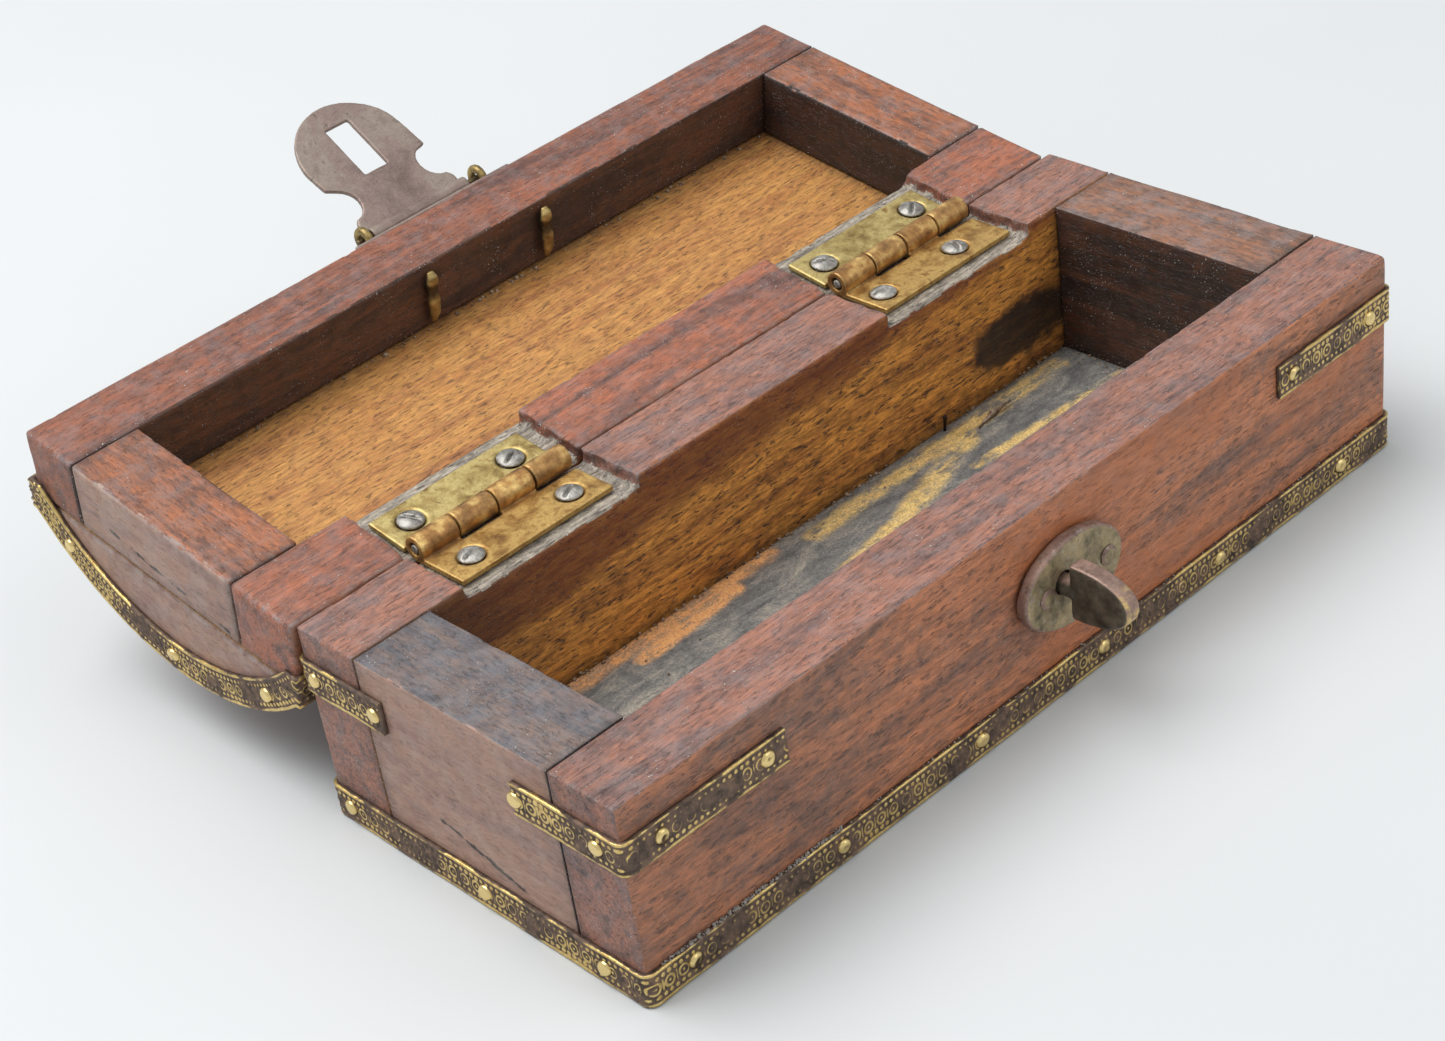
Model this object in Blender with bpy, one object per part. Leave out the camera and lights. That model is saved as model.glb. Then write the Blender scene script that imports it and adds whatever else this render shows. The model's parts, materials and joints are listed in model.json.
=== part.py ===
"""A small rosewood casket with a domed lid, standing open.

The base and the lid are four-wall frames with brass strips nailed along their edges. Two brass butt
hinges join them, and a hasp on the lid closes over a turn-button on the base.

Units are metres, +Z up. The origin is the centre of the base's underside. The box is long in X, the
turn-button faces -Y, and the lid lies open towards +Y.
"""

import math

import bmesh
import bpy
from mathutils import Matrix, Vector

MM = 0.001

# Clearances.
FIT = 0.3 * MM  # between fixed neighbours
PLAY = 0.3 * MM  # around anything that turns
OVERLAP = 0.5 * MM  # how far shapes run into each other before they are joined
JOIN_STEP = 0.05 * MM  # left between their faces where they would otherwise share a plane

# Base.
BOX_LENGTH = 140.0 * MM
BASE_WIDTH = 57.2 * MM
BASE_HEIGHT = 29.2 * MM
BASE_SIDE_WALL = 11.2 * MM
BASE_END_WALL = 12.0 * MM
FLOOR_THICKNESS = 7.1 * MM
WOOD_ROUND = 0.5 * MM

# Lid. Depths are measured from its rim.
LID_SETBACK = 1.0 * MM  # how far its front stays behind the base's
LID_SHIFT = -0.8 * MM  # sideways, as the hinges were fitted
LID_FRONT_WALL = 10.4 * MM
LID_BACK_WALL = 11.8 * MM
LID_END_WALL = 11.0 * MM
LID_FRAME_DEPTH = 10.4 * MM
LID_EDGE_DEPTH = 13.2 * MM
LID_CROWN_DEPTH = 24.0 * MM
STOP_GAP = 0.1 * MM  # left between the strips that stop it when open
DOME_FACETS = 28

# Butt hinges.
HINGE_SPACING = 76.4 * MM
LEAF_LENGTH = 25.4 * MM
LEAF_REACH = 9.2 * MM  # from the pin's axis
LEAF_THICKNESS = 0.8 * MM
BARREL_RADIUS = 1.8 * MM
HINGE_PIN_RADIUS = 0.65 * MM
RIM_GAP = 0.3 * MM  # between the two rims when closed
KNUCKLES = 4
RECESS_MARGIN = 1.8 * MM  # of the cut in the wood, past each end of a leaf
RECESS_OFFSETS = {"left": 0.7 * MM, "right": 0.0}  # of the cut's middle from the hinge's

# Hinge screws.
SCREW_HEAD_RADIUS = 1.95 * MM
SCREW_SHANK_RADIUS = 0.95 * MM
SCREW_DOME = 0.65 * MM
SCREW_LENGTH = 7.0 * MM
SCREW_EDGE_INSET = 3.5 * MM
SCREW_INSETS = {  # from the leaf's left and right ends
    ("left", "base"): (4.4 * MM, 4.4 * MM),
    ("left", "lid"): (4.2 * MM, 4.2 * MM),
    ("right", "base"): (3.2 * MM, 7.6 * MM),
    ("right", "lid"): (3.7 * MM, 3.7 * MM),
}
SLOT_WIDTH = 0.6 * MM
SLOT_FLOOR = 0.2 * MM
SLOT_TURNS = {  # degrees
    ("left", "base"): (12.0, 24.0),
    ("left", "lid"): (-62.0, 28.0),
    ("right", "base"): (-20.0, 70.0),
    ("right", "lid"): (-40.0, 40.0),
}

# Brass strips.
STRIP_WIDTH = 4.7 * MM
STRIP_THICKNESS = 0.45 * MM
FOOT_STRIP_RISE = 0.3 * MM
CORNER_STRIP_DROP = 4.5 * MM  # below the base's rim
FRONT_LEFT_LEG = 25.2 * MM
FRONT_RIGHT_LEG = 23.8 * MM
END_FRONT_LEG = 18.0 * MM
END_BACK_LEG = 15.6 * MM
BACK_LEG = 18.0 * MM
LID_STRIP_TAB = 18.0 * MM

# Turn-button on the base's front.
KNOB_X = 1.3 * MM
KNOB_HEIGHT = 18.1 * MM
PLATE_OFFSET = 2.0 * MM  # of the oval plate's centre from the knob's axis
PLATE_DROP = 0.6 * MM
PLATE_HALF_LENGTH = 9.1 * MM
PLATE_HALF_HEIGHT = 6.3 * MM
PLATE_THICKNESS = 1.8 * MM
RIVET_SPACING = 11.4 * MM
RIVET_OFFSET = 2.5 * MM  # of the rivets' middle from the knob's axis
RIVET_HEAD_RADIUS = 1.5 * MM
RIVET_SHANK_RADIUS = 0.7 * MM
RIVET_DOME = 0.4 * MM
RIVET_LENGTH = 6.0 * MM
RIVET_SEAT = 0.1 * MM  # under its head
KNOB_SHANK_RADIUS = 1.3 * MM
KNOB_NECK_RADIUS = 1.5 * MM
FIN_REACH = 8.8 * MM
FIN_HALF_HEIGHT = 4.0 * MM
FIN_THICKNESS = 2.6 * MM
FIN_BLUNTNESS = 0.7
FIN_ROUND = 0.4 * MM
WASHER_RADIUS = 3.0 * MM
WASHER_THICKNESS = 0.7 * MM
PEENED_RADIUS = 2.1 * MM
PEENED_HEIGHT = 1.0 * MM

# Hasp on the lid's front.
HASP_X = 0.9 * MM
HASP_THICKNESS = 0.8 * MM
HASP_PIVOT_DEPTH = 2.5 * MM
HASP_PIVOT_OUT = 3.4 * MM  # from the lid's front face
HASP_BARREL_RADIUS = 1.25 * MM
HASP_PIN_RADIUS = 0.5 * MM
HASP_ROOT_HALF = 9.1 * MM
HASP_ROOT_LENGTH = 2.8 * MM
HASP_ROOT_STEP = 1.1 * MM  # along the plate, from the root's straight sides to its neck
HASP_NECK_HALF = 6.0 * MM  # at the waist
HASP_NECK_SIDE = 7.6 * MM  # at both ends of the waist
HASP_HEAD_HALF = 9.2 * MM  # also the tip's radius
HASP_SHOULDERS = {"left": 1.0 * MM, "right": 0.3 * MM}  # along the plate, from the waist's end
HASP_TIP_SHIFT = -0.4 * MM
HASP_END_MARGIN = 3.9 * MM  # of metal past the slot
HASP_RISE = math.radians(22.6)  # above the lid's own plane, as it stands open
EYE_SPACING = 21.8 * MM
EYE_OFFSET = 0.6 * MM  # of the eyes' middle from the hasp's
EYE_DROP = 1.4 * MM  # how much deeper the legs come out of the wall than the eye's centre
WIRE_RADIUS = 0.65 * MM
EYE_SHANK_RADIUS = 0.8 * MM
EYE_LEG_FLATTEN = 1.6
EYE_LEG_STAND = 0.9 * MM  # how far the legs stand off the inner face
EYE_LEG_SHAPE = (  # (height above the fold, inward and thickness as shares of the wire's radius)
    (-5.4 * MM, 0.3, 0.5),
    (-3.8 * MM, -0.4, 0.9),
    (-1.9 * MM, -0.4, 1.0),
    (0.0, 0.0, 0.8),
    (1.2 * MM, -0.4, 1.0),
    (2.1 * MM, -0.4, 0.9),
    (2.9 * MM, 0.3, 0.5),
)
BACK_PLATE_HALF_LENGTH = 14.6 * MM
BACK_PLATE_TOP = 0.6 * MM
BACK_PLATE_BOTTOM = 7.2 * MM
BACK_PLATE_THICKNESS = 0.6 * MM

# What follows from the values above.
LID_WIDTH = BASE_WIDTH - LID_SETBACK
RIM = -RIM_GAP / 2  # height of the lid's rim, measured from the hinge axis
HINGE_AXIS = Vector((0.0, BASE_WIDTH / 2 + RIM_GAP / 2, BASE_HEIGHT + RIM_GAP / 2))
LEAF_BOTTOM = -BARREL_RADIUS
LEAF_TOP = LEAF_BOTTOM + LEAF_THICKNESS
RECESS_FLOOR = LEAF_BOTTOM - FIT
LID_BACK = RIM_GAP / 2
LID_FRONT = LID_BACK + LID_WIDTH
HASP_PLATE_OFFSET = HASP_BARREL_RADIUS - HASP_THICKNESS / 2
PLATE_HEIGHT = KNOB_HEIGHT - PLATE_DROP
PIVOT_OUT_CLOSED = HASP_PIVOT_OUT - LID_SETBACK  # of the hasp's pivot, from the base's front face
PIVOT_ABOVE_KNOB = BASE_HEIGHT + RIM_GAP + HASP_PIVOT_DEPTH - KNOB_HEIGHT  # closed
FIN_ROOT = PIVOT_OUT_CLOSED + HASP_BARREL_RADIUS + PLAY  # from the base's front face
HASP_SLOT_HALF_WIDTH = abs(HASP_X - KNOB_X) + max(KNOB_NECK_RADIUS, FIN_THICKNESS / 2) + PLAY

UP = Matrix.Identity(4)
ALONG_X = Matrix(((0, 0, 1, 0), (1, 0, 0, 0), (0, 1, 0, 0), (0, 0, 0, 1)))  # outline in Y and Z
ALONG_Y = Matrix(((1, 0, 0, 0), (0, 0, -1, 0), (0, 1, 0, 0), (0, 0, 0, 1)))  # outline in X and Z


def lid_tilt():
    """What the open lid lacks of lying flat. Its strips' tabs then rest on the base's corner strips."""
    stand = FIT + STRIP_THICKNESS - RIM_GAP / 2
    depth = LID_EDGE_DEPTH - STRIP_WIDTH - RIM
    return math.asin((stand + STOP_GAP) / math.hypot(stand, depth)) + math.atan2(stand, depth)


def clear_scene():
    for obj in list(bpy.data.objects):
        bpy.data.objects.remove(obj, do_unlink=True)


def material(name, colour, roughness, metallic=0.0):
    made = bpy.data.materials.new(name)
    made.use_nodes = True
    shader = made.node_tree.nodes["Principled BSDF"]
    shader.inputs["Base Color"].default_value = (*colour, 1.0)
    shader.inputs["Roughness"].default_value = roughness
    shader.inputs["Metallic"].default_value = metallic
    return made


# Shapes.


def place(name, shape, made_of=None, parent=None, at=(0.0, 0.0, 0.0), turn=(0.0, 0.0, 0.0)):
    mesh = bpy.data.meshes.new(name)
    bmesh.ops.recalc_face_normals(shape, faces=shape.faces)
    shape.to_mesh(mesh)
    shape.free()
    mesh.shade_smooth()
    mesh.set_sharp_from_angle(angle=math.radians(35.0))
    obj = bpy.data.objects.new(name, mesh)
    if made_of:
        mesh.materials.append(made_of)
    bpy.context.scene.collection.objects.link(obj)
    obj.parent = parent
    obj.location = at
    obj.rotation_euler = turn
    return obj


def block_shape(size):
    shape = bmesh.new()
    bmesh.ops.create_cube(shape, size=1.0)
    bmesh.ops.scale(shape, vec=size, verts=shape.verts)
    return shape


def block(name, low, high, made_of=None, parent=None):
    low, high = Vector(low), Vector(high)
    return place(name, block_shape(high - low), made_of, parent, (low + high) / 2)


def prism_shape(outline, depth, axes):
    """The outline extruded both ways from its plane by half the depth."""
    shape = bmesh.new()
    corners = [shape.verts.new((u, v, -depth / 2)) for u, v in outline]
    face = shape.faces.new(corners)
    moved = bmesh.ops.extrude_face_region(shape, geom=[face])["geom"]
    bmesh.ops.translate(
        shape, vec=(0, 0, depth), verts=[v for v in moved if isinstance(v, bmesh.types.BMVert)]
    )
    bmesh.ops.transform(shape, matrix=axes, verts=shape.verts)
    return shape


def turned_shape(profile, axes, segments=20):
    """A closed solid of revolution. The profile's (radius, height) points start and end on the axis."""
    shape = bmesh.new()
    points = [shape.verts.new((radius, 0.0, height)) for radius, height in profile]
    edges = [shape.edges.new(pair) for pair in zip(points, points[1:])]
    bmesh.ops.spin(
        shape, geom=points + edges, cent=(0, 0, 0), axis=(0, 0, 1), angle=2 * math.pi, steps=segments
    )
    bmesh.ops.remove_doubles(shape, verts=shape.verts, dist=0.001 * MM)
    bmesh.ops.transform(shape, matrix=axes, verts=shape.verts)
    return shape


def rod_shape(path, radii, closed=False, sides=10, flatten=1.0):
    """A wire along points (y, z) in the plane X = 0, with one radius for each point.

    Its section is this many times wider across that plane than in it."""
    shape = bmesh.new()
    rings = []
    count = len(path)
    for i, (y, z) in enumerate(path):
        before = path[i - 1] if closed or i else path[i]
        after = path[(i + 1) % count] if closed or i < count - 1 else path[i]
        along = Vector((0.0, after[0] - before[0], after[1] - before[1])).normalized()
        aside = Vector((1.0, 0.0, 0.0)).cross(along)
        ring = []
        for k in range(sides):
            angle = 2 * math.pi * k / sides
            across = flatten * math.cos(angle) * Vector((1.0, 0.0, 0.0))
            step = radii[i] * (across + math.sin(angle) * aside)
            ring.append(shape.verts.new(Vector((0.0, y, z)) + step))
        rings.append(ring)
    pairs = list(zip(rings, rings[1:]))
    if closed:
        pairs.append((rings[-1], rings[0]))
    else:
        shape.faces.new(rings[0])
        shape.faces.new(rings[-1])
    for first, second in pairs:
        for k in range(sides):
            m = (k + 1) % sides
            shape.faces.new((first[k], first[m], second[m], second[k]))
    return shape


def arc(centre, radius, start, end, steps):
    """Points on a circle, with angles in radians and both ends included."""
    angles = [start + (end - start) * i / steps for i in range(steps + 1)]
    return [(centre[0] + radius * math.cos(a), centre[1] + radius * math.sin(a)) for a in angles]


def boolean(obj, tool, operation):
    tool.hide_render = True
    tool.display_type = "WIRE"
    modifier = obj.modifiers.new(f"{operation.lower()} {tool.name}", "BOOLEAN")
    modifier.operation = operation
    modifier.object = tool
    modifier.solver = "EXACT"


def cut(obj, tool):
    boolean(obj, tool, "DIFFERENCE")


def join(obj, tool):
    boolean(obj, tool, "UNION")


def round_edges(obj, width, segments=2):
    modifier = obj.modifiers.new("rounded edges", "BEVEL")
    modifier.width = width
    modifier.segments = segments
    modifier.limit_method = "ANGLE"
    modifier.angle_limit = math.radians(40.0)
    modifier.use_clamp_overlap = True


def bar_profile(radius, length):
    half = length / 2
    return [(0.0, -half), (radius, -half), (radius, half), (0.0, half)]


def cylinder(name, radius, length, axes, made_of=None, parent=None, at=(0, 0, 0)):
    return place(name, turned_shape(bar_profile(radius, length), axes, 16), made_of, parent, at)


def plank(name, low, high, made_of, parent=None):
    obj = block(name, low, high, made_of, parent)
    round_edges(obj, WOOD_ROUND)
    return obj


# Base.


def base_walls(wood):
    """Front and back run the full length, and the ends stand between them."""
    end, front, back = BOX_LENGTH / 2, -BASE_WIDTH / 2, BASE_WIDTH / 2
    inner_front, inner_back = front + BASE_SIDE_WALL, back - BASE_SIDE_WALL
    walls = {
        "base_front_wall": ((-end, front, 0), (end, inner_front, BASE_HEIGHT)),
        "base_back_wall": ((-end, inner_back, 0), (end, back, BASE_HEIGHT)),
        "base_left_end": (
            (-end, inner_front + FIT, 0),
            (-end + BASE_END_WALL, inner_back - FIT, BASE_HEIGHT),
        ),
        "base_right_end": (
            (end - BASE_END_WALL, inner_front + FIT, 0),
            (end, inner_back - FIT, BASE_HEIGHT),
        ),
    }
    return {name: plank(name, low, high, wood[name]) for name, (low, high) in walls.items()}


def base_floor(wood):
    """A board let in between the four walls, flush with their undersides."""
    x = BOX_LENGTH / 2 - BASE_END_WALL - FIT
    y = BASE_WIDTH / 2 - BASE_SIDE_WALL - FIT
    plank("base_floor", (-x, -y, 0), (x, y, FLOOR_THICKNESS), wood)


# Lid. Its pieces are placed from the hinge axis, so y grows away from the hinges and z is minus the depth.


def lid_frame(wood, pivot):
    left, right = LID_SHIFT - BOX_LENGTH / 2, LID_SHIFT + BOX_LENGTH / 2
    inner_front, inner_back = LID_FRONT - LID_FRONT_WALL, LID_BACK + LID_BACK_WALL
    low = RIM - LID_FRAME_DEPTH
    walls = {
        "lid_front_wall": ((left, inner_front, low), (right, LID_FRONT, RIM)),
        "lid_back_wall": ((left, LID_BACK, low), (right, inner_back, RIM)),
        "lid_left_end": ((left, inner_back + FIT, low), (left + LID_END_WALL, inner_front - FIT, RIM)),
        "lid_right_end": ((right - LID_END_WALL, inner_back + FIT, low), (right, inner_front - FIT, RIM)),
    }
    return {name: plank(name, *corners, wood[name], pivot) for name, corners in walls.items()}


def dome_circle():
    """Centre height, radius and half angle of the arc through the lid's two lower edges and its crown."""
    half = LID_WIDTH / 2
    sagitta = LID_CROWN_DEPTH - LID_EDGE_DEPTH
    radius = (half * half + sagitta * sagitta) / (2 * sagitta)
    return RIM - LID_CROWN_DEPTH + radius, radius, math.asin(min(1.0, half / radius))


def dome_arc(shrink, steps):
    """Points of the dome's arc from its back edge to its front one, this far inside its surface."""
    height, radius, half_angle = dome_circle()
    down = -math.pi / 2
    middle = ((LID_BACK + LID_FRONT) / 2, height)
    return arc(middle, radius - shrink, down - half_angle, down + half_angle, steps)


def lid_dome(wood, pivot):
    """One plano-convex board under the frame."""
    top = RIM - LID_FRAME_DEPTH - FIT
    outline = [(LID_FRONT, top), (LID_BACK, top), *dome_arc(0.0, DOME_FACETS)]
    shape = prism_shape(outline, BOX_LENGTH, ALONG_X)
    dome = place("lid_dome", shape, wood, pivot, (LID_SHIFT, 0, 0))
    round_edges(dome, WOOD_ROUND)


# Hinges.


def hinge_centres():
    return {"left": -HINGE_SPACING / 2, "right": HINGE_SPACING / 2}


def knuckle_spans(side):
    """(start, end) in X of one leaf's knuckles, from the hinge's middle. The base's come first."""
    pitch = (LEAF_LENGTH + PLAY) / KNUCKLES
    first = 0 if side == "base" else 1
    starts = [-LEAF_LENGTH / 2 + pitch * i for i in range(first, KNUCKLES, 2)]
    return [(start, start + pitch - PLAY) for start in starts]


def knuckle_shape(length):
    """A barrel with the root of its leaf, which leaves it at a tangent from below."""
    meet = math.asin(LEAF_TOP / BARREL_RADIUS)
    circle = arc((0.0, 0.0), BARREL_RADIUS, -math.pi / 2, math.pi - meet, 20)
    root = -BARREL_RADIUS - PLAY - OVERLAP
    outline = [(root, LEAF_BOTTOM), *circle, (root, LEAF_TOP)]
    return prism_shape(outline, length, ALONG_X)


def screw_places(hinge, side):
    """(x, y) of a leaf's two screws, from the hinge's middle and axis."""
    left, right = SCREW_INSETS[hinge, side]
    y = (LEAF_REACH - SCREW_EDGE_INSET) * (-1 if side == "base" else 1)
    return [(left - LEAF_LENGTH / 2, y), (LEAF_LENGTH / 2 - right, y)]


def hinge_leaf(hinge, side, brass, parent, middle):
    """A plate with two knuckles, bored for the pin and countersunk for two screws."""
    name = f"hinge_{hinge}_{side}_leaf"
    sign = -1 if side == "base" else 1
    size = Vector((LEAF_LENGTH, LEAF_REACH - BARREL_RADIUS - PLAY, LEAF_THICKNESS))
    shape = block_shape(size)
    centre = Vector((0, sign * (BARREL_RADIUS + PLAY + size.y / 2), (LEAF_BOTTOM + LEAF_TOP) / 2))
    bmesh.ops.translate(shape, vec=centre, verts=shape.verts)
    leaf = place(name, shape, brass, parent, middle)
    turn = (0, 0, 0) if side == "base" else (0, 0, math.pi)
    for i, (start, end) in enumerate(knuckle_spans(side)):
        knuckle = knuckle_shape(end - start)
        join(leaf, place(f"{name}_knuckle_{i}", knuckle, None, leaf, ((start + end) / 2, 0, 0), turn))
    bore = turned_shape(bar_profile(HINGE_PIN_RADIUS + PLAY, 2 * LEAF_LENGTH), ALONG_X, 16)
    cut(leaf, place(f"{name}_bore", bore, None, leaf))
    for i, (x, y) in enumerate(screw_places(hinge, side)):
        cut(leaf, countersink(f"{name}_countersink_{i}", leaf, (x, y, LEAF_TOP)))


def countersink(name, parent, at):
    """A cone that clears the screw's head, and runs past both faces of the leaf."""
    above, below = FIT, LEAF_THICKNESS + FIT
    wide = SCREW_HEAD_RADIUS + FIT
    profile = [(0.0, -below), (wide - below, -below), (wide + above, above), (0.0, above)]
    return place(name, turned_shape(profile, UP, 24), None, parent, at)


def screw_shape():
    """A domed, slotted head on a countersunk cone, with a tapered shank. Its zero is the leaf's top."""
    head, shank = SCREW_HEAD_RADIUS, SCREW_SHANK_RADIUS
    cone = head - shank
    profile = [
        (0.0, SCREW_DOME),
        (0.55 * head, 0.8 * SCREW_DOME),
        (0.88 * head, 0.35 * SCREW_DOME),
        (head, 0.0),
        (shank, -cone),
        (shank, -SCREW_LENGTH + 2 * shank),
        (0.0, -SCREW_LENGTH),
    ]
    return turned_shape(profile, UP, 18)


def hinge_screw(name, steel, parent, at, turn):
    screw = place(name, screw_shape(), steel, parent, at, (0, 0, math.radians(turn)))
    length = 3 * SCREW_HEAD_RADIUS
    low = (-length / 2, -SLOT_WIDTH / 2, SLOT_FLOOR)
    high = (length / 2, SLOT_WIDTH / 2, 2 * SCREW_DOME)
    cut(screw, block(f"{name}_slot", low, high, None, screw))


def hinge_recess(wall, hinge, side, parent, middle):
    """The cut for one leaf, across the wall's rim, and the holes for its screws."""
    name = f"hinge_{hinge}_{side}"
    half = Vector((LEAF_LENGTH / 2 + RECESS_MARGIN, 2 * LEAF_REACH, 0))
    centre = middle + Vector((RECESS_OFFSETS[hinge], 0, 0))
    low = centre - half + Vector((0, 0, RECESS_FLOOR))
    high = centre + half + Vector((0, 0, BARREL_RADIUS))
    cut(wall, block(f"{name}_recess", low, high, None, parent))
    for i, (x, y) in enumerate(screw_places(hinge, side)):
        at = middle + Vector((x, y, LEAF_TOP))
        depth = SCREW_LENGTH + FIT
        cut(wall, cylinder(f"{name}_hole_{i}", SCREW_SHANK_RADIUS + FIT, 2 * depth, UP, None, parent, at))


def hinges(brass, steel, pivot, walls):
    for hinge, x in hinge_centres().items():
        at = HINGE_AXIS + Vector((x, 0, 0))
        cylinder(f"hinge_{hinge}_pin", HINGE_PIN_RADIUS, LEAF_LENGTH, ALONG_X, steel, None, at)
        for side, parent, axis in (("base", None, HINGE_AXIS), ("lid", pivot, Vector())):
            middle = axis + Vector((x, 0, 0))
            hinge_leaf(hinge, side, brass, parent, middle)
            hinge_recess(walls[f"{side}_back_wall"], hinge, side, parent, middle)
            screws = zip(screw_places(hinge, side), SLOT_TURNS[hinge, side])
            for i, ((dx, dy), turn) in enumerate(screws):
                at = middle + Vector((dx, dy, LEAF_TOP))
                hinge_screw(f"hinge_{hinge}_{side}_screw_{i + 1}", steel, parent, at, turn)


# Strips.


def foot_strips(brass):
    """Four strips round the base's foot. The front and back ones cover the ends of the other two."""
    near, far = FIT, FIT + STRIP_THICKNESS
    x, y = BOX_LENGTH / 2, BASE_WIDTH / 2
    low, high = FOOT_STRIP_RISE, FOOT_STRIP_RISE + STRIP_WIDTH
    block("base_foot_strip_front", (-x - far, -y - far, low), (x + far, -y - near, high), brass)
    block("base_foot_strip_back", (-x - far, y + near, low), (x + far, y + far, high), brass)
    block("base_foot_strip_left", (-x - far, -y, low), (-x - near, y, high), brass)
    block("base_foot_strip_right", (x + near, -y, low), (x + far, y, high), brass)


def corner_strip(name, brass, x_sign, y_sign, x_leg, y_leg):
    """An L bent round a vertical corner of the base."""
    near, far = FIT, FIT + STRIP_THICKNESS
    outline = [(far, far), (-x_leg, far), (-x_leg, near), (near, near), (near, -y_leg), (far, -y_leg)]
    outline = [(x_sign * u, y_sign * v) for u, v in outline]
    top = BASE_HEIGHT - CORNER_STRIP_DROP
    at = (x_sign * BOX_LENGTH / 2, y_sign * BASE_WIDTH / 2, top - STRIP_WIDTH / 2)
    place(name, prism_shape(outline, STRIP_WIDTH, UP), brass, None, at)


def corner_strips(brass):
    corner_strip("base_corner_strip_front_left", brass, -1, -1, FRONT_LEFT_LEG, END_FRONT_LEG)
    corner_strip("base_corner_strip_front_right", brass, 1, -1, FRONT_RIGHT_LEG, END_FRONT_LEG)
    corner_strip("base_corner_strip_back_left", brass, -1, 1, BACK_LEG, END_BACK_LEG)
    corner_strip("base_corner_strip_back_right", brass, 1, 1, BACK_LEG, END_BACK_LEG)


def lid_strip(name, brass, pivot, sign):
    """A band along the dome's edge on one end face, with a tab bent round each corner."""
    far = FIT + STRIP_THICKNESS
    edge = RIM - LID_EDGE_DEPTH
    outer = dome_arc(0.0, DOME_FACETS)[1:-1]
    inner = [p for p in dome_arc(STRIP_WIDTH, DOME_FACETS) if LID_BACK < p[0] < LID_FRONT]
    reach = far - JOIN_STEP
    outline = [
        (LID_BACK - reach, edge),
        *outer,
        (LID_FRONT + reach, edge),
        (LID_FRONT + reach, edge + STRIP_WIDTH),
        *reversed(inner),
        (LID_BACK - reach, edge + STRIP_WIDTH),
    ]
    x = LID_SHIFT + sign * (BOX_LENGTH / 2 + FIT + STRIP_THICKNESS / 2)
    band = place(name, prism_shape(outline, STRIP_THICKNESS, ALONG_X), brass, pivot, (x, 0, 0))
    inside = -sign * (STRIP_THICKNESS / 2 + FIT + LID_STRIP_TAB)
    for end, y in (("back", LID_BACK - far), ("front", LID_FRONT + FIT)):
        low = (min(0.0, inside), y, edge + JOIN_STEP)
        high = (max(0.0, inside), y + STRIP_THICKNESS, edge + STRIP_WIDTH - JOIN_STEP)
        join(band, block(f"{name}_{end}_tab", low, high, None, band))


# Turn-button.


def oval(half_length, half_height, steps):
    turns = [2 * math.pi * i / steps for i in range(steps)]
    return [(half_length * math.cos(a), half_height * math.sin(a)) for a in turns]


def rivet_places():
    middle = KNOB_X + RIVET_OFFSET
    return {"left": middle - RIVET_SPACING / 2, "right": middle + RIVET_SPACING / 2}


def knob_plate(brass, wall):
    """The oval plate that the button turns on, held by a rivet at each end."""
    front = -BASE_WIDTH / 2
    shape = prism_shape(oval(PLATE_HALF_LENGTH, PLATE_HALF_HEIGHT, 40), PLATE_THICKNESS, ALONG_Y)
    at = (KNOB_X + PLATE_OFFSET, front - FIT - PLATE_THICKNESS / 2, PLATE_HEIGHT)
    plate = place("knob_plate", shape, brass, None, at)
    round_edges(plate, FIN_ROUND)
    for side, x in rivet_places().items():
        at = (x, front, PLATE_HEIGHT)
        length = 2 * (RIVET_LENGTH + FIT)
        hole = cylinder(f"rivet_{side}_hole", RIVET_SHANK_RADIUS + FIT, length, ALONG_Y, None, None, at)
        cut(plate, hole)
        cut(wall, hole)
        rivet(f"knob_rivet_{side}", brass, x)
    at = (KNOB_X, front, KNOB_HEIGHT)
    bore = cylinder("knob_bore", KNOB_SHANK_RADIUS + PLAY, 4 * BASE_SIDE_WALL, ALONG_Y, None, None, at)
    cut(plate, bore)
    cut(wall, bore)


def rivet(name, brass, x):
    """A low domed head on a plain shank. Its zero is the underside of the head."""
    head, shank = RIVET_HEAD_RADIUS, RIVET_SHANK_RADIUS
    seat = -BASE_WIDTH / 2 - FIT - PLATE_THICKNESS - RIVET_SEAT
    profile = [
        (0.0, RIVET_DOME),
        (0.6 * head, 0.8 * RIVET_DOME),
        (head, 0.1 * RIVET_DOME),
        (head, 0.0),
        (shank, 0.0),
        (shank, -RIVET_LENGTH),
        (0.0, -RIVET_LENGTH),
    ]
    place(name, turned_shape(profile, ALONG_Y, 16), brass, None, (x, seat, PLATE_HEIGHT))


def knob_shank_shape():
    """Neck, shank and peened end, turned about the knob's axis. Height zero is the wall's front face."""
    inside = BASE_SIDE_WALL + WASHER_THICKNESS + 2 * FIT
    neck_back = FIT + PLATE_THICKNESS + PLAY
    profile = [
        (0.0, FIN_ROOT + 2 * OVERLAP),
        (KNOB_NECK_RADIUS, FIN_ROOT + OVERLAP),
        (KNOB_NECK_RADIUS, neck_back),
        (KNOB_SHANK_RADIUS, neck_back),
        (KNOB_SHANK_RADIUS, -inside),
        (PEENED_RADIUS, -inside),
        (0.6 * PEENED_RADIUS, -inside - PEENED_HEIGHT),
        (0.0, -inside - PEENED_HEIGHT),
    ]
    return turned_shape(profile, ALONG_Y, 20)


def fin_outline():
    """(distance out from the base's front face, height) round the fin, which ends as a blunt tongue."""
    steps = 16
    middle = []
    for i in range(1, steps):
        angle = math.pi * (i / steps - 0.5)
        reach = FIN_REACH * math.cos(angle) ** FIN_BLUNTNESS
        middle.append((FIN_ROOT + reach, FIN_HALF_HEIGHT * math.sin(angle)))
    return [(FIN_ROOT, -FIN_HALF_HEIGHT), *middle, (FIN_ROOT, FIN_HALF_HEIGHT)]


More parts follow.
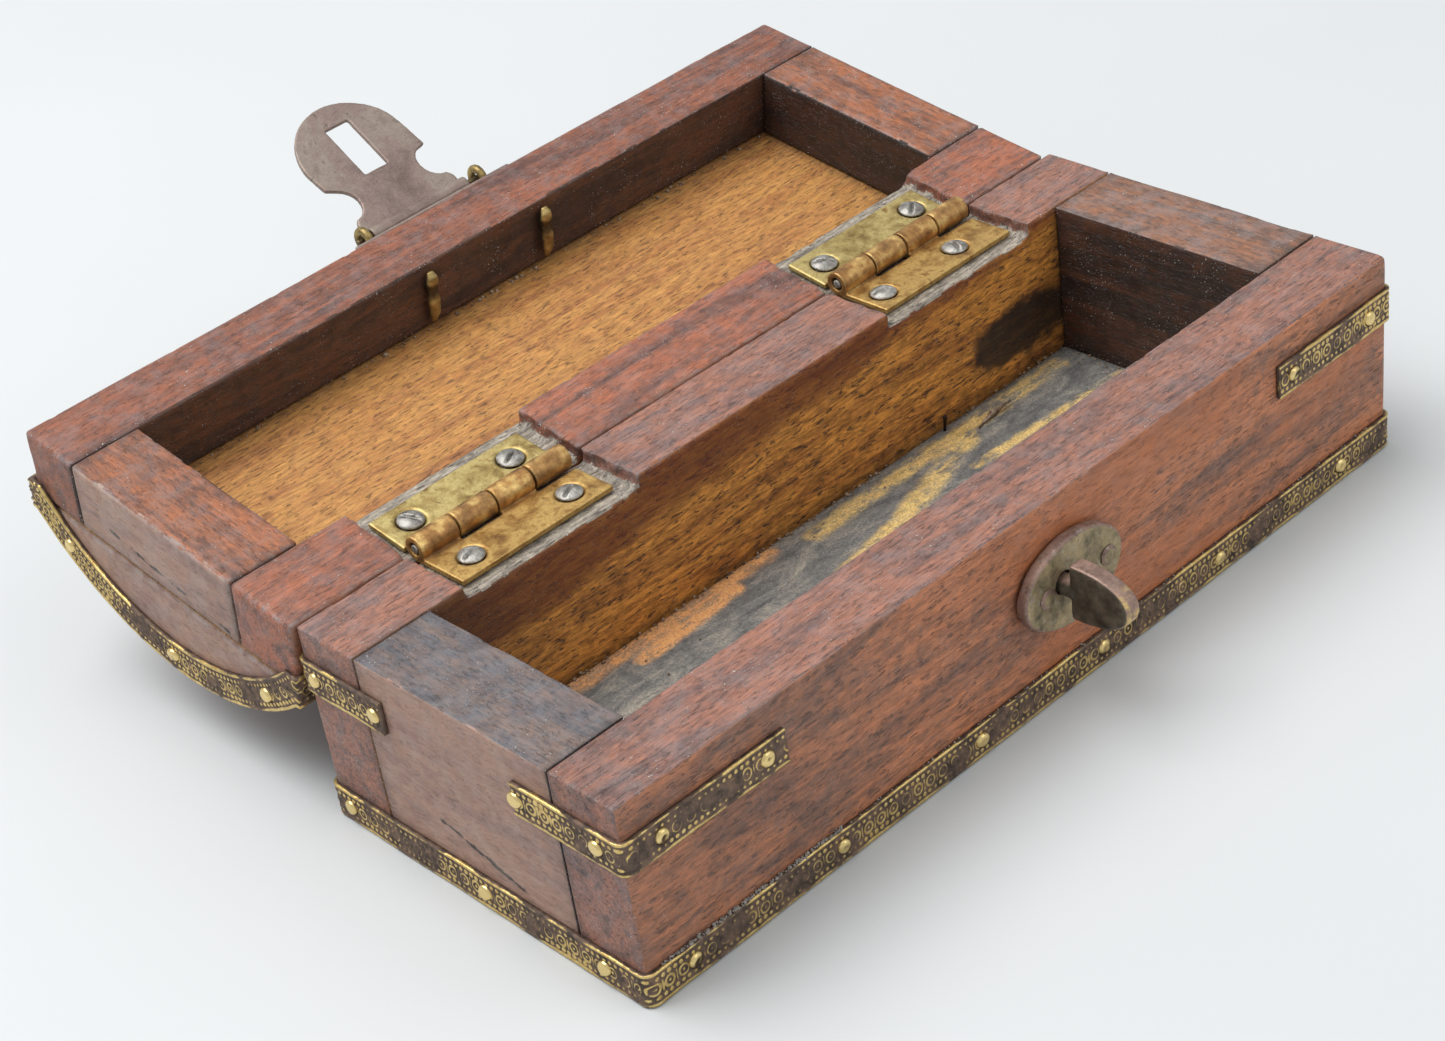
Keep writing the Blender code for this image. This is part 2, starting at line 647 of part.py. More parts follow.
def turn_knob(brass):
    """A fin that stands upright to pass the hasp's slot, and turns crosswise to hold it."""
    outline = [(-out, height) for out, height in fin_outline()]
    at = (KNOB_X, -BASE_WIDTH / 2, KNOB_HEIGHT)
    knob = place("turn_knob", prism_shape(outline, FIN_THICKNESS, ALONG_X), brass, None, at)
    round_edges(knob, FIN_ROUND)
    join(knob, place("turn_knob_shank", knob_shank_shape(), None, knob))


def knob_washer(brass):
    """The washer inside the front wall that the button's end is peened over."""
    at = (KNOB_X, -BASE_WIDTH / 2 + BASE_SIDE_WALL + FIT + WASHER_THICKNESS / 2, KNOB_HEIGHT)
    washer = cylinder("knob_washer", WASHER_RADIUS, WASHER_THICKNESS, ALONG_Y, brass, None, at)
    bore = turned_shape(bar_profile(KNOB_SHANK_RADIUS + PLAY, 4 * WASHER_THICKNESS), ALONG_Y, 16)
    cut(washer, place("knob_washer_bore", bore, None, washer))


# Hasp.


def neck_arc(start, end, side, waist, steps):
    """The hollow side of the neck, from one height to another, with its waist halfway."""
    half = (end - start) / 2
    depth = side - waist
    radius = (half * half + depth * depth) / (2 * depth)
    centre = (waist + radius, (start + end) / 2)
    swing = math.asin(min(1.0, half / radius))
    return arc(centre, radius, math.pi + swing, math.pi - swing, steps)


def hasp_slot_span():
    """Where the slot starts and ends, from the pivot. Its far end clears the fin as the hasp swings over."""
    swing = [
        math.hypot(out - PIVOT_OUT_CLOSED, PIVOT_ABOVE_KNOB - height) for out, height in fin_outline()
    ]
    return PIVOT_ABOVE_KNOB - FIN_HALF_HEIGHT - PLAY, max(swing) + PLAY


def hasp_side(side):
    """(half width, distance from the pivot) along one side of the plate: root, waist and shoulder."""
    neck_start = HASP_ROOT_LENGTH + HASP_ROOT_STEP
    neck_end = hasp_slot_span()[0] - PLAY
    return [
        (HASP_ROOT_HALF, 0.0),
        (HASP_ROOT_HALF, HASP_ROOT_LENGTH),
        (HASP_ROOT_HALF - HASP_ROOT_STEP / 2, HASP_ROOT_LENGTH + HASP_ROOT_STEP * 0.8),
        *neck_arc(neck_start, neck_end, HASP_NECK_SIDE, HASP_NECK_HALF, 8),
        (HASP_HEAD_HALF, neck_end + HASP_SHOULDERS[side]),
    ]


def hasp_outline():
    """(x, distance from the pivot) round the plate, whose head ends as a half circle."""
    tip = hasp_slot_span()[1] + HASP_END_MARGIN - HASP_HEAD_HALF
    right = hasp_side("right")
    left = [(-x, along) for x, along in reversed(hasp_side("left"))]
    return right + arc((HASP_TIP_SHIFT, tip), HASP_HEAD_HALF, 0.0, math.pi, 24) + left


def hasp_plate(brass, pivot):
    """A flat plate with a slot, rolled into a barrel along its root."""
    at = (0, 0, -HASP_PLATE_OFFSET)
    plate = place("hasp_plate", prism_shape(hasp_outline(), HASP_THICKNESS, UP), brass, pivot, at)
    up = Vector((0, 0, HASP_PLATE_OFFSET))
    length = 2 * HASP_ROOT_HALF
    join(plate, cylinder("hasp_barrel", HASP_BARREL_RADIUS, length, ALONG_X, None, plate, up))
    cut(plate, cylinder("hasp_bore", HASP_PIN_RADIUS + PLAY, 2 * length, ALONG_X, None, plate, up))
    start, end = hasp_slot_span()
    low = (-HASP_SLOT_HALF_WIDTH, start, -HASP_THICKNESS)
    high = (HASP_SLOT_HALF_WIDTH, end, HASP_THICKNESS)
    cut(plate, block("hasp_slot", low, high, None, plate))


def eye_places():
    middle = HASP_X + EYE_OFFSET
    return {"left": middle - EYE_SPACING / 2, "right": middle + EYE_SPACING / 2}


def eye_slope():
    """(y, z) of the slanting line that a split pin follows, from its eye in through the wall."""
    return Vector((-HASP_PIVOT_OUT - LID_FRONT_WALL, -EYE_DROP))


def split_pin(name, brass, pivot, x):
    """A wire eye whose doubled legs slant through the wall and are folded back inside, up and down."""
    at = (x, LID_FRONT + HASP_PIVOT_OUT, RIM - HASP_PIVOT_DEPTH)
    ring_radius = HASP_PIN_RADIUS + PLAY + WIRE_RADIUS
    ring = arc((0.0, 0.0), ring_radius, 0.0, 2 * math.pi, 16)[:-1]
    eye = place(name, rod_shape(ring, [WIRE_RADIUS] * len(ring), True), brass, pivot, at)
    slope = eye_slope()
    along = slope.normalized()
    fold = slope + along * EYE_LEG_STAND
    shank = rod_shape([along * ring_radius, fold], [EYE_SHANK_RADIUS] * 2, sides=12)
    join(eye, place(f"{name}_shank", shank, None, eye))
    path, radii = [], []
    for rise, inward, thickness in EYE_LEG_SHAPE:
        path.append(fold + Vector((inward * WIRE_RADIUS, rise)))
        radii.append(thickness * WIRE_RADIUS)
    legs = rod_shape(path, radii, flatten=EYE_LEG_FLATTEN)
    join(eye, place(f"{name}_legs", legs, None, eye))


def hasp_mounting(brass, pivot, wall):
    """Backing plate, two split pins through the lid's front wall, and the pin the hasp swings on."""
    out, depth = LID_FRONT + HASP_PIVOT_OUT, RIM - HASP_PIVOT_DEPTH
    middle = HASP_X + EYE_OFFSET
    low = (middle - BACK_PLATE_HALF_LENGTH, LID_FRONT + FIT, RIM - BACK_PLATE_BOTTOM)
    high = (middle + BACK_PLATE_HALF_LENGTH, LID_FRONT + FIT + BACK_PLATE_THICKNESS, RIM - BACK_PLATE_TOP)
    plate = block("hasp_back_plate", low, high, brass, pivot)
    slope = eye_slope()
    for side, x in eye_places().items():
        radius, length, at = EYE_SHANK_RADIUS + FIT, 4 * LID_FRONT_WALL, (x, out, depth)
        hole = cylinder(f"eye_{side}_hole", radius, length, ALONG_Y, None, pivot, at)
        hole.rotation_euler.x = math.atan2(slope.y, slope.x)
        cut(plate, hole)
        cut(wall, hole)
        split_pin(f"hasp_split_pin_{side}", brass, pivot, x)
    length = EYE_SPACING + 4 * WIRE_RADIUS
    cylinder("hasp_pin", HASP_PIN_RADIUS, length, ALONG_X, brass, pivot, (middle, out, depth))


def empty(name, parent, at, turn):
    """A joint's axis, as the parent of what moves about it."""
    obj = bpy.data.objects.new(name, None)
    bpy.context.scene.collection.objects.link(obj)
    obj.parent = parent
    obj.location = at
    obj.rotation_euler = turn
    return obj


def main():
    clear_scene()
    names = ("front_wall", "back_wall", "left_end", "right_end")
    reds = {"front_wall": (0.20, 0.062, 0.030), "back_wall": (0.17, 0.052, 0.028)}
    ends = (0.15, 0.065, 0.045)
    wood = {
        f"{body}_{name}": material(f"rosewood_{body}_{name}", reds.get(name, ends), 0.5)
        for body in ("base", "lid")
        for name in names
    }
    floor_wood = material("stained_floor", (0.10, 0.085, 0.05), 0.7)
    dome_wood = material("rosewood_dome", (0.34, 0.15, 0.045), 0.45)
    hinge_brass = material("hinge_brass", (0.55, 0.40, 0.14), 0.35, 1.0)
    strip_brass = material("embossed_brass", (0.32, 0.22, 0.09), 0.5, 1.0)
    dark_brass = material("patinated_brass", (0.20, 0.15, 0.11), 0.5, 1.0)
    steel = material("screw_steel", (0.42, 0.41, 0.38), 0.4, 1.0)

    lid_pivot = empty("lid_pivot", None, HINGE_AXIS, (lid_tilt(), 0, 0))
    hasp_at = (HASP_X, LID_FRONT + HASP_PIVOT_OUT, RIM - HASP_PIVOT_DEPTH)
    hasp_pivot = empty("hasp_pivot", lid_pivot, hasp_at, (HASP_RISE, 0, 0))

    walls = base_walls(wood)
    base_floor(floor_wood)
    walls.update(lid_frame(wood, lid_pivot))
    lid_dome(dome_wood, lid_pivot)
    hinges(hinge_brass, steel, lid_pivot, walls)
    foot_strips(strip_brass)
    corner_strips(strip_brass)
    for name, sign in (("lid_strip_left", -1), ("lid_strip_right", 1)):
        lid_strip(name, strip_brass, lid_pivot, sign)
    knob_plate(dark_brass, walls["base_front_wall"])
    turn_knob(dark_brass)
    knob_washer(dark_brass)
    hasp_mounting(dark_brass, lid_pivot, walls["lid_front_wall"])
    hasp_plate(dark_brass, hasp_pivot)


main()
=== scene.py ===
import json
import math

import bmesh
import bpy
import numpy as np
from mathutils import Matrix, Vector


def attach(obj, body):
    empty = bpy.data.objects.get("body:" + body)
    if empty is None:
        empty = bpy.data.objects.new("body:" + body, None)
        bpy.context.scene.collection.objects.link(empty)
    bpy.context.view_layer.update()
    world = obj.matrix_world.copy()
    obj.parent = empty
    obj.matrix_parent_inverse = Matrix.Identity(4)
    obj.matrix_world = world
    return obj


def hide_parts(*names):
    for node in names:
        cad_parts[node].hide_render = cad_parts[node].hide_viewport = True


# A small rosewood casket with a domed lid, standing open: worn boards, embossed brass strips with their
# nails, butt hinges, a slotted hasp and a turn-button. Sizes are in millimetres and come from the frame.

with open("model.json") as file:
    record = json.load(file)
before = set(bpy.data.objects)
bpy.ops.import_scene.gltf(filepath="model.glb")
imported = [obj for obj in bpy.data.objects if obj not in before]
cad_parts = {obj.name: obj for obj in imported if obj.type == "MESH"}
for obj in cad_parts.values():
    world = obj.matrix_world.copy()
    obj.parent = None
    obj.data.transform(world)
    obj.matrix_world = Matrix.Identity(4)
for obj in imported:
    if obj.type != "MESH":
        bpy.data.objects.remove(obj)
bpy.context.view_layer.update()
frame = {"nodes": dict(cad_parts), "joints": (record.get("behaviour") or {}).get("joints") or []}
MM = 0.001

CAMERA_TARGET = Vector((-41.2, 11.9, 20.0))
CAMERA_DISTANCE = 351.2
CAMERA_AZIMUTH = -35.85  # degrees; 0 looks along +Y
CAMERA_ELEVATION = 35.22
CAMERA_ROLL = -11.07
CAMERA_LENS = 70.7
CAMERA_SHIFT = (0.1035, 0.0683)

BOARD_GRAIN = 0.4  # spacing of a board's vertices
METAL_GRAIN = 0.14
STRIP_GRAIN = 0.15
RECESS_SPANS = ((-52.1, -22.9), (23.7, 52.4))  # where the hinges are let in, along the back walls
RECESS_CLEARANCE = 0.3
WEAR_ROUNDS = 5  # of smoothing, which rounds the boards' arrises
WEAR_STRENGTH = 0.7
CHIP_DEPTH = 0.35
SEAM_GROWTH = 0.1
STRIP_STAND = 0.55  # of a strip's flat ground, off the wood
BEAD_PITCH = 0.95
RING_PITCH = 2.2
NAIL_RADIUS = 1.1

JOINTS = {joint["name"]: joint for joint in frame["joints"]}
LID_TURN = math.radians(180.0 - JOINTS["lid_hinge"]["range_deg"][1])
BASE = Matrix.Identity(4)
LID = Matrix.Translation(Vector(JOINTS["lid_hinge"]["pos_m"]) / MM) @ Matrix.Rotation(LID_TURN, 4, "X")
HASP_TURN = math.radians(90.0 - JOINTS["hasp_hinge"]["range_deg"][1])
HASP = (
    Matrix.Translation(Vector(JOINTS["hasp_hinge"]["pos_m"]) / MM)
    @ Matrix.Rotation(LID_TURN + HASP_TURN, 4, "X")
)
PLACES = {"base": BASE, "lid": LID, "hasp": HASP, "turn_button": BASE}  # each body's own frame, in mm


# Numbers.


def srgb(red, green, blue):
    """A linear colour from 0 to 255 values."""
    return tuple(((c / 255 + 0.055) / 1.055) ** 2.4 if c > 10 else c / 3294 for c in (red, green, blue))


def hashed(cells, seed):
    """A repeatable number from 0 to 1 for each integer cell."""
    mixed = cells @ np.array([127.1, 311.7, 74.7]) + seed * 53.3
    return np.modf(np.abs(np.sin(mixed) * 43758.5453))[0]


def noise(points, size, seed=0):
    """Smooth value noise, from 0 to 1, whose lumps are this size."""
    scaled = points / size
    cell = np.floor(scaled)
    part = scaled - cell
    part = part * part * (3 - 2 * part)
    total = np.zeros(len(points))
    for corner in np.ndindex(2, 2, 2):
        offset = np.array(corner)
        weight = np.prod(np.where(offset, part, 1 - part), axis=1)
        total += weight * hashed(cell + offset, seed)
    return total


def ramp(values, low, high):
    return np.clip((values - low) / (high - low), 0, 1)


def local_points(node, place):
    """The vertices of a CAD node, in mm, as seen from a place."""
    points = vertex_array(frame["nodes"][node].data)
    inverse = np.array(place.inverted())
    return points / MM @ inverse[:3, :3].T + inverse[:3, 3]


def local_box(node, place=BASE):
    points = local_points(node, place)
    return points.min(0), points.max(0)


# Meshes.


def vertex_array(mesh, what="co"):
    values = np.empty(len(mesh.vertices) * 3)
    mesh.vertices.foreach_get(what, values)
    return values.reshape(-1, 3)


def move_vertices(mesh, points):
    mesh.vertices.foreach_set("co", points.ravel())
    mesh.update()


def smoothed(mesh, points, rounds):
    """The points after that many rounds of averaging with their neighbours."""
    edges = np.empty(len(mesh.edges) * 2, np.int64)
    mesh.edges.foreach_get("vertices", edges)
    first, second = edges.reshape(-1, 2).T
    count = np.bincount(np.concatenate((first, second)), minlength=len(points))[:, None]
    for _ in range(rounds):
        total = np.zeros_like(points)
        for axis in range(3):
            total[:, axis] = np.bincount(first, points[second, axis], len(points))
            total[:, axis] += np.bincount(second, points[first, axis], len(points))
        points = 0.5 * points + 0.5 * total / np.maximum(count, 1)
    return points


def set_attribute(mesh, name, values):
    attribute = mesh.attributes.new(name, "FLOAT", "POINT")
    attribute.data.foreach_set("value", np.asarray(values, np.float32))


def finish_piece(obj, body, nodes, materials):
    """Turns a mesh in mm, in its body's frame, into a piece in metres that rides on the body."""
    obj.data.transform(Matrix.Scale(MM, 4))
    moved = PLACES[body].copy()
    moved.translation *= MM
    obj.matrix_world = moved
    for made_of in materials:
        obj.data.materials.append(made_of)
    obj.data.shade_smooth()
    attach(obj, body)
    if nodes:
        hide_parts(*nodes)
    return obj


def new_object(name, mesh):
    obj = bpy.data.objects.new(name, mesh)
    bpy.context.scene.collection.objects.link(obj)
    return obj


def box_object(name, low, high):
    shape = bmesh.new()
    bmesh.ops.create_cube(shape, size=1.0)
    bmesh.ops.scale(shape, vec=Vector(high) - Vector(low), verts=shape.verts)
    bmesh.ops.translate(shape, vec=(Vector(high) + Vector(low)) / 2, verts=shape.verts)
    mesh = bpy.data.meshes.new(name)
    shape.to_mesh(mesh)
    shape.free()
    return new_object(name, mesh)


def node_object(name, node, place):
    """A copy of a CAD node, in mm, with its doubled vertices merged."""
    mesh = frame["nodes"][node].data.copy()
    mesh.materials.clear()
    mesh.transform(place.inverted() @ Matrix.Scale(1 / MM, 4))
    shape = bmesh.new()
    shape.from_mesh(mesh)
    bmesh.ops.remove_doubles(shape, verts=shape.verts, dist=0.001)
    shape.to_mesh(mesh)
    shape.free()
    return new_object(name, mesh)


def bake_modifiers(obj):
    """Replaces the object's mesh by its modifiers' result."""
    bpy.context.view_layer.update()
    graph = bpy.context.evaluated_depsgraph_get()
    mesh = bpy.data.meshes.new_from_object(obj.evaluated_get(graph))
    obj.modifiers.clear()
    obj.data = mesh


def remesh(obj, grain, cutters=()):
    for cutter in cutters:
        cut = obj.modifiers.new("cut", "BOOLEAN")
        cut.operation = "DIFFERENCE"
        cut.object = cutter
    voxels = obj.modifiers.new("voxels", "REMESH")
    voxels.mode = "VOXEL"
    voxels.voxel_size = grain
    bake_modifiers(obj)
    for cutter in cutters:
        bpy.data.objects.remove(cutter)
    for name in [a.name for a in obj.data.attributes if not a.is_required and not a.is_internal]:
        obj.data.attributes.remove(obj.data.attributes[name])


def distance_to_box(points, low, high):
    return np.linalg.norm(np.maximum(0, np.maximum(low - points, points - high)), axis=1)


def paint_faces(mesh, choices):
    """Gives each face the last material whose test it passes. A test takes face centres and normals."""
    count = len(mesh.polygons)
    centres, normals = np.empty(count * 3), np.empty(count * 3)
    mesh.polygons.foreach_get("center", centres)
    mesh.polygons.foreach_get("normal", normals)
    index = np.zeros(count, np.int32)
    for i, test in enumerate(choices):
        if test is not None:
            index[test(centres.reshape(-1, 3), normals.reshape(-1, 3))] = i
    mesh.polygons.foreach_set("material_index", index)


# Materials.


class Paint:
    """One material's nodes. Each method adds a node and returns its output. Lengths are in mm."""

    def __init__(self, name, roughness, metallic=0.0, specular=0.5):
        self.material = bpy.data.materials.new(name)
        self.material.use_nodes = True
        self.tree = self.material.node_tree
        self.shader = self.tree.nodes["Principled BSDF"]
        self.shader.inputs["Roughness"].default_value = roughness
        self.shader.inputs["Metallic"].default_value = metallic
        self.shader.inputs["Specular IOR Level"].default_value = specular
        coordinates = self.tree.nodes.new("ShaderNodeTexCoord")
        self.normal = coordinates.outputs["Normal"]
        self.place = self.vector("SCALE", coordinates.outputs["Object"], scale=1 / MM)

    def put(self, value, socket):
        if isinstance(value, bpy.types.NodeSocket):
            self.tree.links.new(value, socket)
        elif isinstance(value, tuple) and len(value) == 3 and socket.type == "RGBA":
            socket.default_value = (*value, 1.0)
        else:
            socket.default_value = value

    def vector(self, operation, first, second=None, scale=None):
        node = self.tree.nodes.new("ShaderNodeVectorMath")
        node.operation = operation
        self.put(first, node.inputs[0])
        if second is not None:
            self.put(second, node.inputs[1])
        if scale is not None:
            self.put(scale, node.inputs["Scale"])
        return node.outputs["Value" if operation in ("DOT_PRODUCT", "LENGTH") else "Vector"]

    def math(self, operation, first, second=0.0):
        node = self.tree.nodes.new("ShaderNodeMath")
        node.operation = operation
        self.put(first, node.inputs[0])
        self.put(second, node.inputs[1])
        return node.outputs[0]

    def times(self, first, second):
        return self.math("MULTIPLY", first, second)

    def plus(self, first, second):
        return self.math("ADD", first, second)

    def minus(self, first, second):
        return self.math("SUBTRACT", first, second)

    def swing(self, noise, amount):
        """Noise turned into an offset either way from nothing."""
        return self.times(self.minus(noise, 0.5), amount)

    def attribute(self, name):
        node = self.tree.nodes.new("ShaderNodeAttribute")
        node.attribute_name = name
        return node.outputs["Fac"]

    def noise(self, scale, stretch=(1, 1, 1), detail=3.0, warp=0.0, shift=(0, 0, 0), rough=0.55):
        """Noise with lumps of 1 / scale mm, drawn out along an axis whose stretch is under 1."""
        placed = self.vector("MULTIPLY_ADD", self.place, tuple(stretch))
        self.put(tuple(shift), placed.node.inputs[2])
        node = self.tree.nodes.new("ShaderNodeTexNoise")
        self.put(placed, node.inputs["Vector"])
        node.inputs["Scale"].default_value = scale
        node.inputs["Detail"].default_value = detail
        node.inputs["Roughness"].default_value = rough
        node.inputs["Distortion"].default_value = warp
        return node.outputs["Fac"]

    def level(self, value, low, high, start=0.0, end=1.0):
        """Smoothly from start, where the value is low, to end, where it is high."""
        node = self.tree.nodes.new("ShaderNodeMapRange")
        node.interpolation_type = "SMOOTHSTEP"
        self.put(value, node.inputs["Value"])
        for name, number in (("From Min", low), ("From Max", high), ("To Min", start), ("To Max", end)):
            node.inputs[name].default_value = number
        return node.outputs["Result"]

    def tones(self, value, stops):
        node = self.tree.nodes.new("ShaderNodeValToRGB")
        elements = node.color_ramp.elements
        while len(elements) < len(stops):
            elements.new(0.5)
        for element, (position, colour) in zip(elements, stops):
            element.position = position
            element.color = (*colour, 1.0)
        self.put(value, node.inputs["Fac"])
        return node.outputs["Color"]

    def mix(self, factor, first, second, how="MIX"):
        node = self.tree.nodes.new("ShaderNodeMix")
        node.data_type = "RGBA"
        node.blend_type = how
        self.put(factor, node.inputs["Factor"])
        self.put(first, node.inputs[6])
        self.put(second, node.inputs[7])
        return node.outputs[2]

    def tint(self, colour, tone, mask, strength):
        """The colour, turned towards the tone where the mask is high."""
        return self.mix(self.times(mask, strength), colour, tone)

    def axis(self, direction, shift=0.0):
        """Distance along a direction."""
        return self.plus(self.vector("DOT_PRODUCT", self.place, tuple(direction)), shift)

    def near(self, centre, sizes, ragged=0.0, scale=0.3):
        """1 inside an ellipsoid, fading to 0 at its surface, with a ragged edge."""
        offset = self.vector("SUBTRACT", self.place, tuple(centre))
        scaled = self.vector("MULTIPLY", offset, tuple(1 / size for size in sizes))
        distance = self.vector("LENGTH", scaled)
        if ragged:
            wobble = self.swing(self.noise(scale), ragged)
            distance = self.plus(distance, wobble)
        return self.level(distance, 1.15, 0.75)

    def crack(self, start, end, width):
        """1 along a line between two points, which wanders a little."""
        start, end = Vector(start), Vector(end)
        along = (end - start).normalized()
        offset = self.vector("SUBTRACT", self.place, tuple(start))
        travelled = self.vector("DOT_PRODUCT", offset, tuple(along))
        clamped = self.math("MINIMUM", self.math("MAXIMUM", travelled, 0.0), (end - start).length)
        nearest = self.vector("SCALE", tuple(along), scale=clamped)
        distance = self.vector("LENGTH", self.vector("SUBTRACT", offset, nearest))
        wander = self.swing(self.noise(0.5), 1.6)
        return self.level(self.math("ABSOLUTE", self.plus(distance, wander)), width, 0.3 * width)

    def done(self, colour, roughness=None, height=None, depth=0.1, metallic=None):
        self.put(colour, self.shader.inputs["Base Color"])
        if roughness is not None:
            self.put(roughness, self.shader.inputs["Roughness"])
        if metallic is not None:
            self.put(metallic, self.shader.inputs["Metallic"])
        if height is not None:
            bump = self.tree.nodes.new("ShaderNodeBump")
            bump.inputs["Strength"].default_value = 1.0
            bump.inputs["Distance"].default_value = depth * MM
            self.put(height, bump.inputs["Height"])
            self.put(bump.outputs["Normal"], self.shader.inputs["Normal"])
        return self.material


GRAIN = {"x": (0.10, 1.0, 1.0), "y": (1.0, 0.12, 1.0), "z": (1.0, 1.0, 0.12)}
SPECK = srgb(196, 190, 184)
GRIME = srgb(46, 36, 32)


def wood_base(paint, along, tones, seed, figure=0.2, contrast=1.0):
    """Mottled wood: broad figure, fine fibres and short dark pores. Returns its colour and its height."""
    grain = GRAIN[along]
    fine_grain = tuple(1.6 * g if g < 1 else g for g in grain)
    shift = (seed * 7.3, seed * 3.1, seed * 5.7)
    bands = paint.noise(figure, grain, 4.0, 1.6, shift, 0.6)
    mottle = paint.noise(0.45, (1, 1, 1), 6.0, 0.6, shift, 0.7)
    blend = paint.plus(paint.times(bands, 0.62), paint.times(mottle, 0.38))
    colour = paint.tones(blend, tones)
    fibres = paint.noise(2.2, fine_grain, 5.0, 0.5, shift, 0.7)
    shade = paint.level(fibres, 0.32, 0.68, 1.0 - 0.26 * contrast, 1.0 + 0.2 * contrast)
    colour = paint.mix(1.0, colour, shade, "MULTIPLY")
    pores = paint.noise(2.2, tuple(2.6 * g if g < 1 else g for g in grain), 3.0, 0.3, shift, 0.6)
    pitted = paint.level(pores, 0.57, 0.66)
    colour = paint.tint(colour, GRIME, pitted, 0.42 * contrast)
    height = paint.minus(fibres, paint.times(pitted, 0.5))
    return colour, height


def weathering(paint, colour, height, haze, haze_colour, dust=1.0):
    """Thin grey haze, pale worn arrises, dirt in the seams and specks of dust over a wood."""
    edge, seam = paint.attribute("edge"), paint.attribute("seam")
    cloudy = paint.level(paint.noise(0.3, detail=7.0, rough=0.7), 0.42, 0.66)
    colour = paint.tint(colour, haze_colour, cloudy, haze)
    rubbed = paint.times(paint.level(edge, 0.2, 0.8), paint.level(paint.noise(0.6, detail=4.0), 0.36, 0.6))
    colour = paint.tint(colour, haze_colour, rubbed, 0.6)
    dirty = paint.times(seam, paint.level(paint.noise(0.9), 0.2, 0.6, 0.25, 0.9))
    colour = paint.tint(colour, GRIME, dirty, 0.75)
    dots = paint.level(paint.noise(3.4, detail=1.0), 0.67, 0.73)
    near_edge = paint.plus(paint.level(edge, 0.1, 0.7), paint.level(seam, 0.2, 0.8))
    patchy = paint.plus(paint.level(paint.noise(0.2, shift=(9, 4, 2)), 0.42, 0.66), near_edge)
    specks = paint.times(dots, paint.times(patchy, dust))
    colour = paint.mix(specks, colour, SPECK)
    roughness = paint.level(paint.noise(0.35, detail=4.0), 0.3, 0.7, 0.4, 0.6)
    height = paint.plus(height, paint.times(specks, 1.5))
    return colour, roughness, height


def rosewood(name, along, tones, seed, haze, haze_colour, dust=1.0, extra=None, figure=0.2, contrast=1.0):
    """A board's wood. extra(paint, colour) adds what only that board shows."""
    paint = Paint(name, 0.5)
    colour, height = wood_base(paint, along, tones, seed, figure, contrast)
    if extra:
        colour = extra(paint, colour)
    colour, roughness, height = weathering(paint, colour, height, haze, haze_colour, dust)
    return paint.done(colour, roughness, height, 0.12)


def stops(*colours, low=0.3, high=0.7):
    """Evenly spaced tones between two levels."""
    step = (high - low) / (len(colours) - 1)
    return [(low + i * step, srgb(*colour)) for i, colour in enumerate(colours)]


def cracked(*cracks):
    """Fine dark cracks, each (start, end, width)."""

    def extra(paint, colour):
        for start, end, width in cracks:
            colour = paint.mix(paint.crack(start, end, width), colour, GRIME)
        return colour

    return extra


LEFT_CRACKS = cracked(((-70, 27.5, 22), (-70, 20, 11), 0.5), ((-70, 6, 10), (-70, -8, 6.5), 0.45))
LID_CRACKS = cracked(((-71, 12, -2.8), (-71, 0.5, -4.2), 0.4), ((-71, 40, -7), (-71, 14, -9.5), 0.35))
SMEARS = (  # (centre, half-sizes) of the front's dark smears
    ((-20, -28.6, 13), (16, 6, 2.2)),
    ((-50, -28.6, 17), (9, 6, 3)),
    ((38, -28.6, 16), (9, 6, 1.6)),
)


def back_wall_stains(paint, colour):
    """A red band under the rim, darker wood at the left and a black stain at the right."""
    wavy = paint.swing(paint.noise(0.1, (0.4, 1, 1), 4.0), 9.0)
    tapering = paint.times(paint.axis((1, 0, 0)), 0.08)
    height = paint.plus(paint.axis((0, 0, 1)), paint.minus(wavy, tapering))
    band = paint.level(height, 20.5, 24.5)
    colour = paint.tint(colour, srgb(106, 44, 28), band, 0.72)
    left = paint.level(paint.axis((1, 0, 0)), -34.0, -58.0)
    colour = paint.tint(colour, srgb(78, 52, 38), left, 0.6)
    stain = paint.near((50, 17.4, 14), (12, 6, 4.5), 0.9, 0.25)
    colour = paint.tint(colour, srgb(34, 30, 28), stain, 0.92)
    return colour


def front_stains(paint, colour):
    """Greyer towards the left, orange towards the right, with dark smears."""
    along = paint.plus(paint.axis((1, 0, 0)), paint.times(paint.noise(0.06), 40.0))
    left = paint.level(along, 10.0, -30.0)
    colour = paint.tint(colour, srgb(98, 82, 76), left, 0.25)
    right = paint.times(paint.level(along, 2.0, 28.0), paint.level(paint.noise(0.12, (0.3, 1, 1)), 0.4, 0.6))
    colour = paint.tint(colour, srgb(176, 102, 58), right, 0.5)
    for centre, sizes in SMEARS:
        smear = paint.near(centre, sizes, 0.9, 0.22)
        colour = paint.tint(colour, srgb(70, 62, 60), smear, 0.3)
    return colour


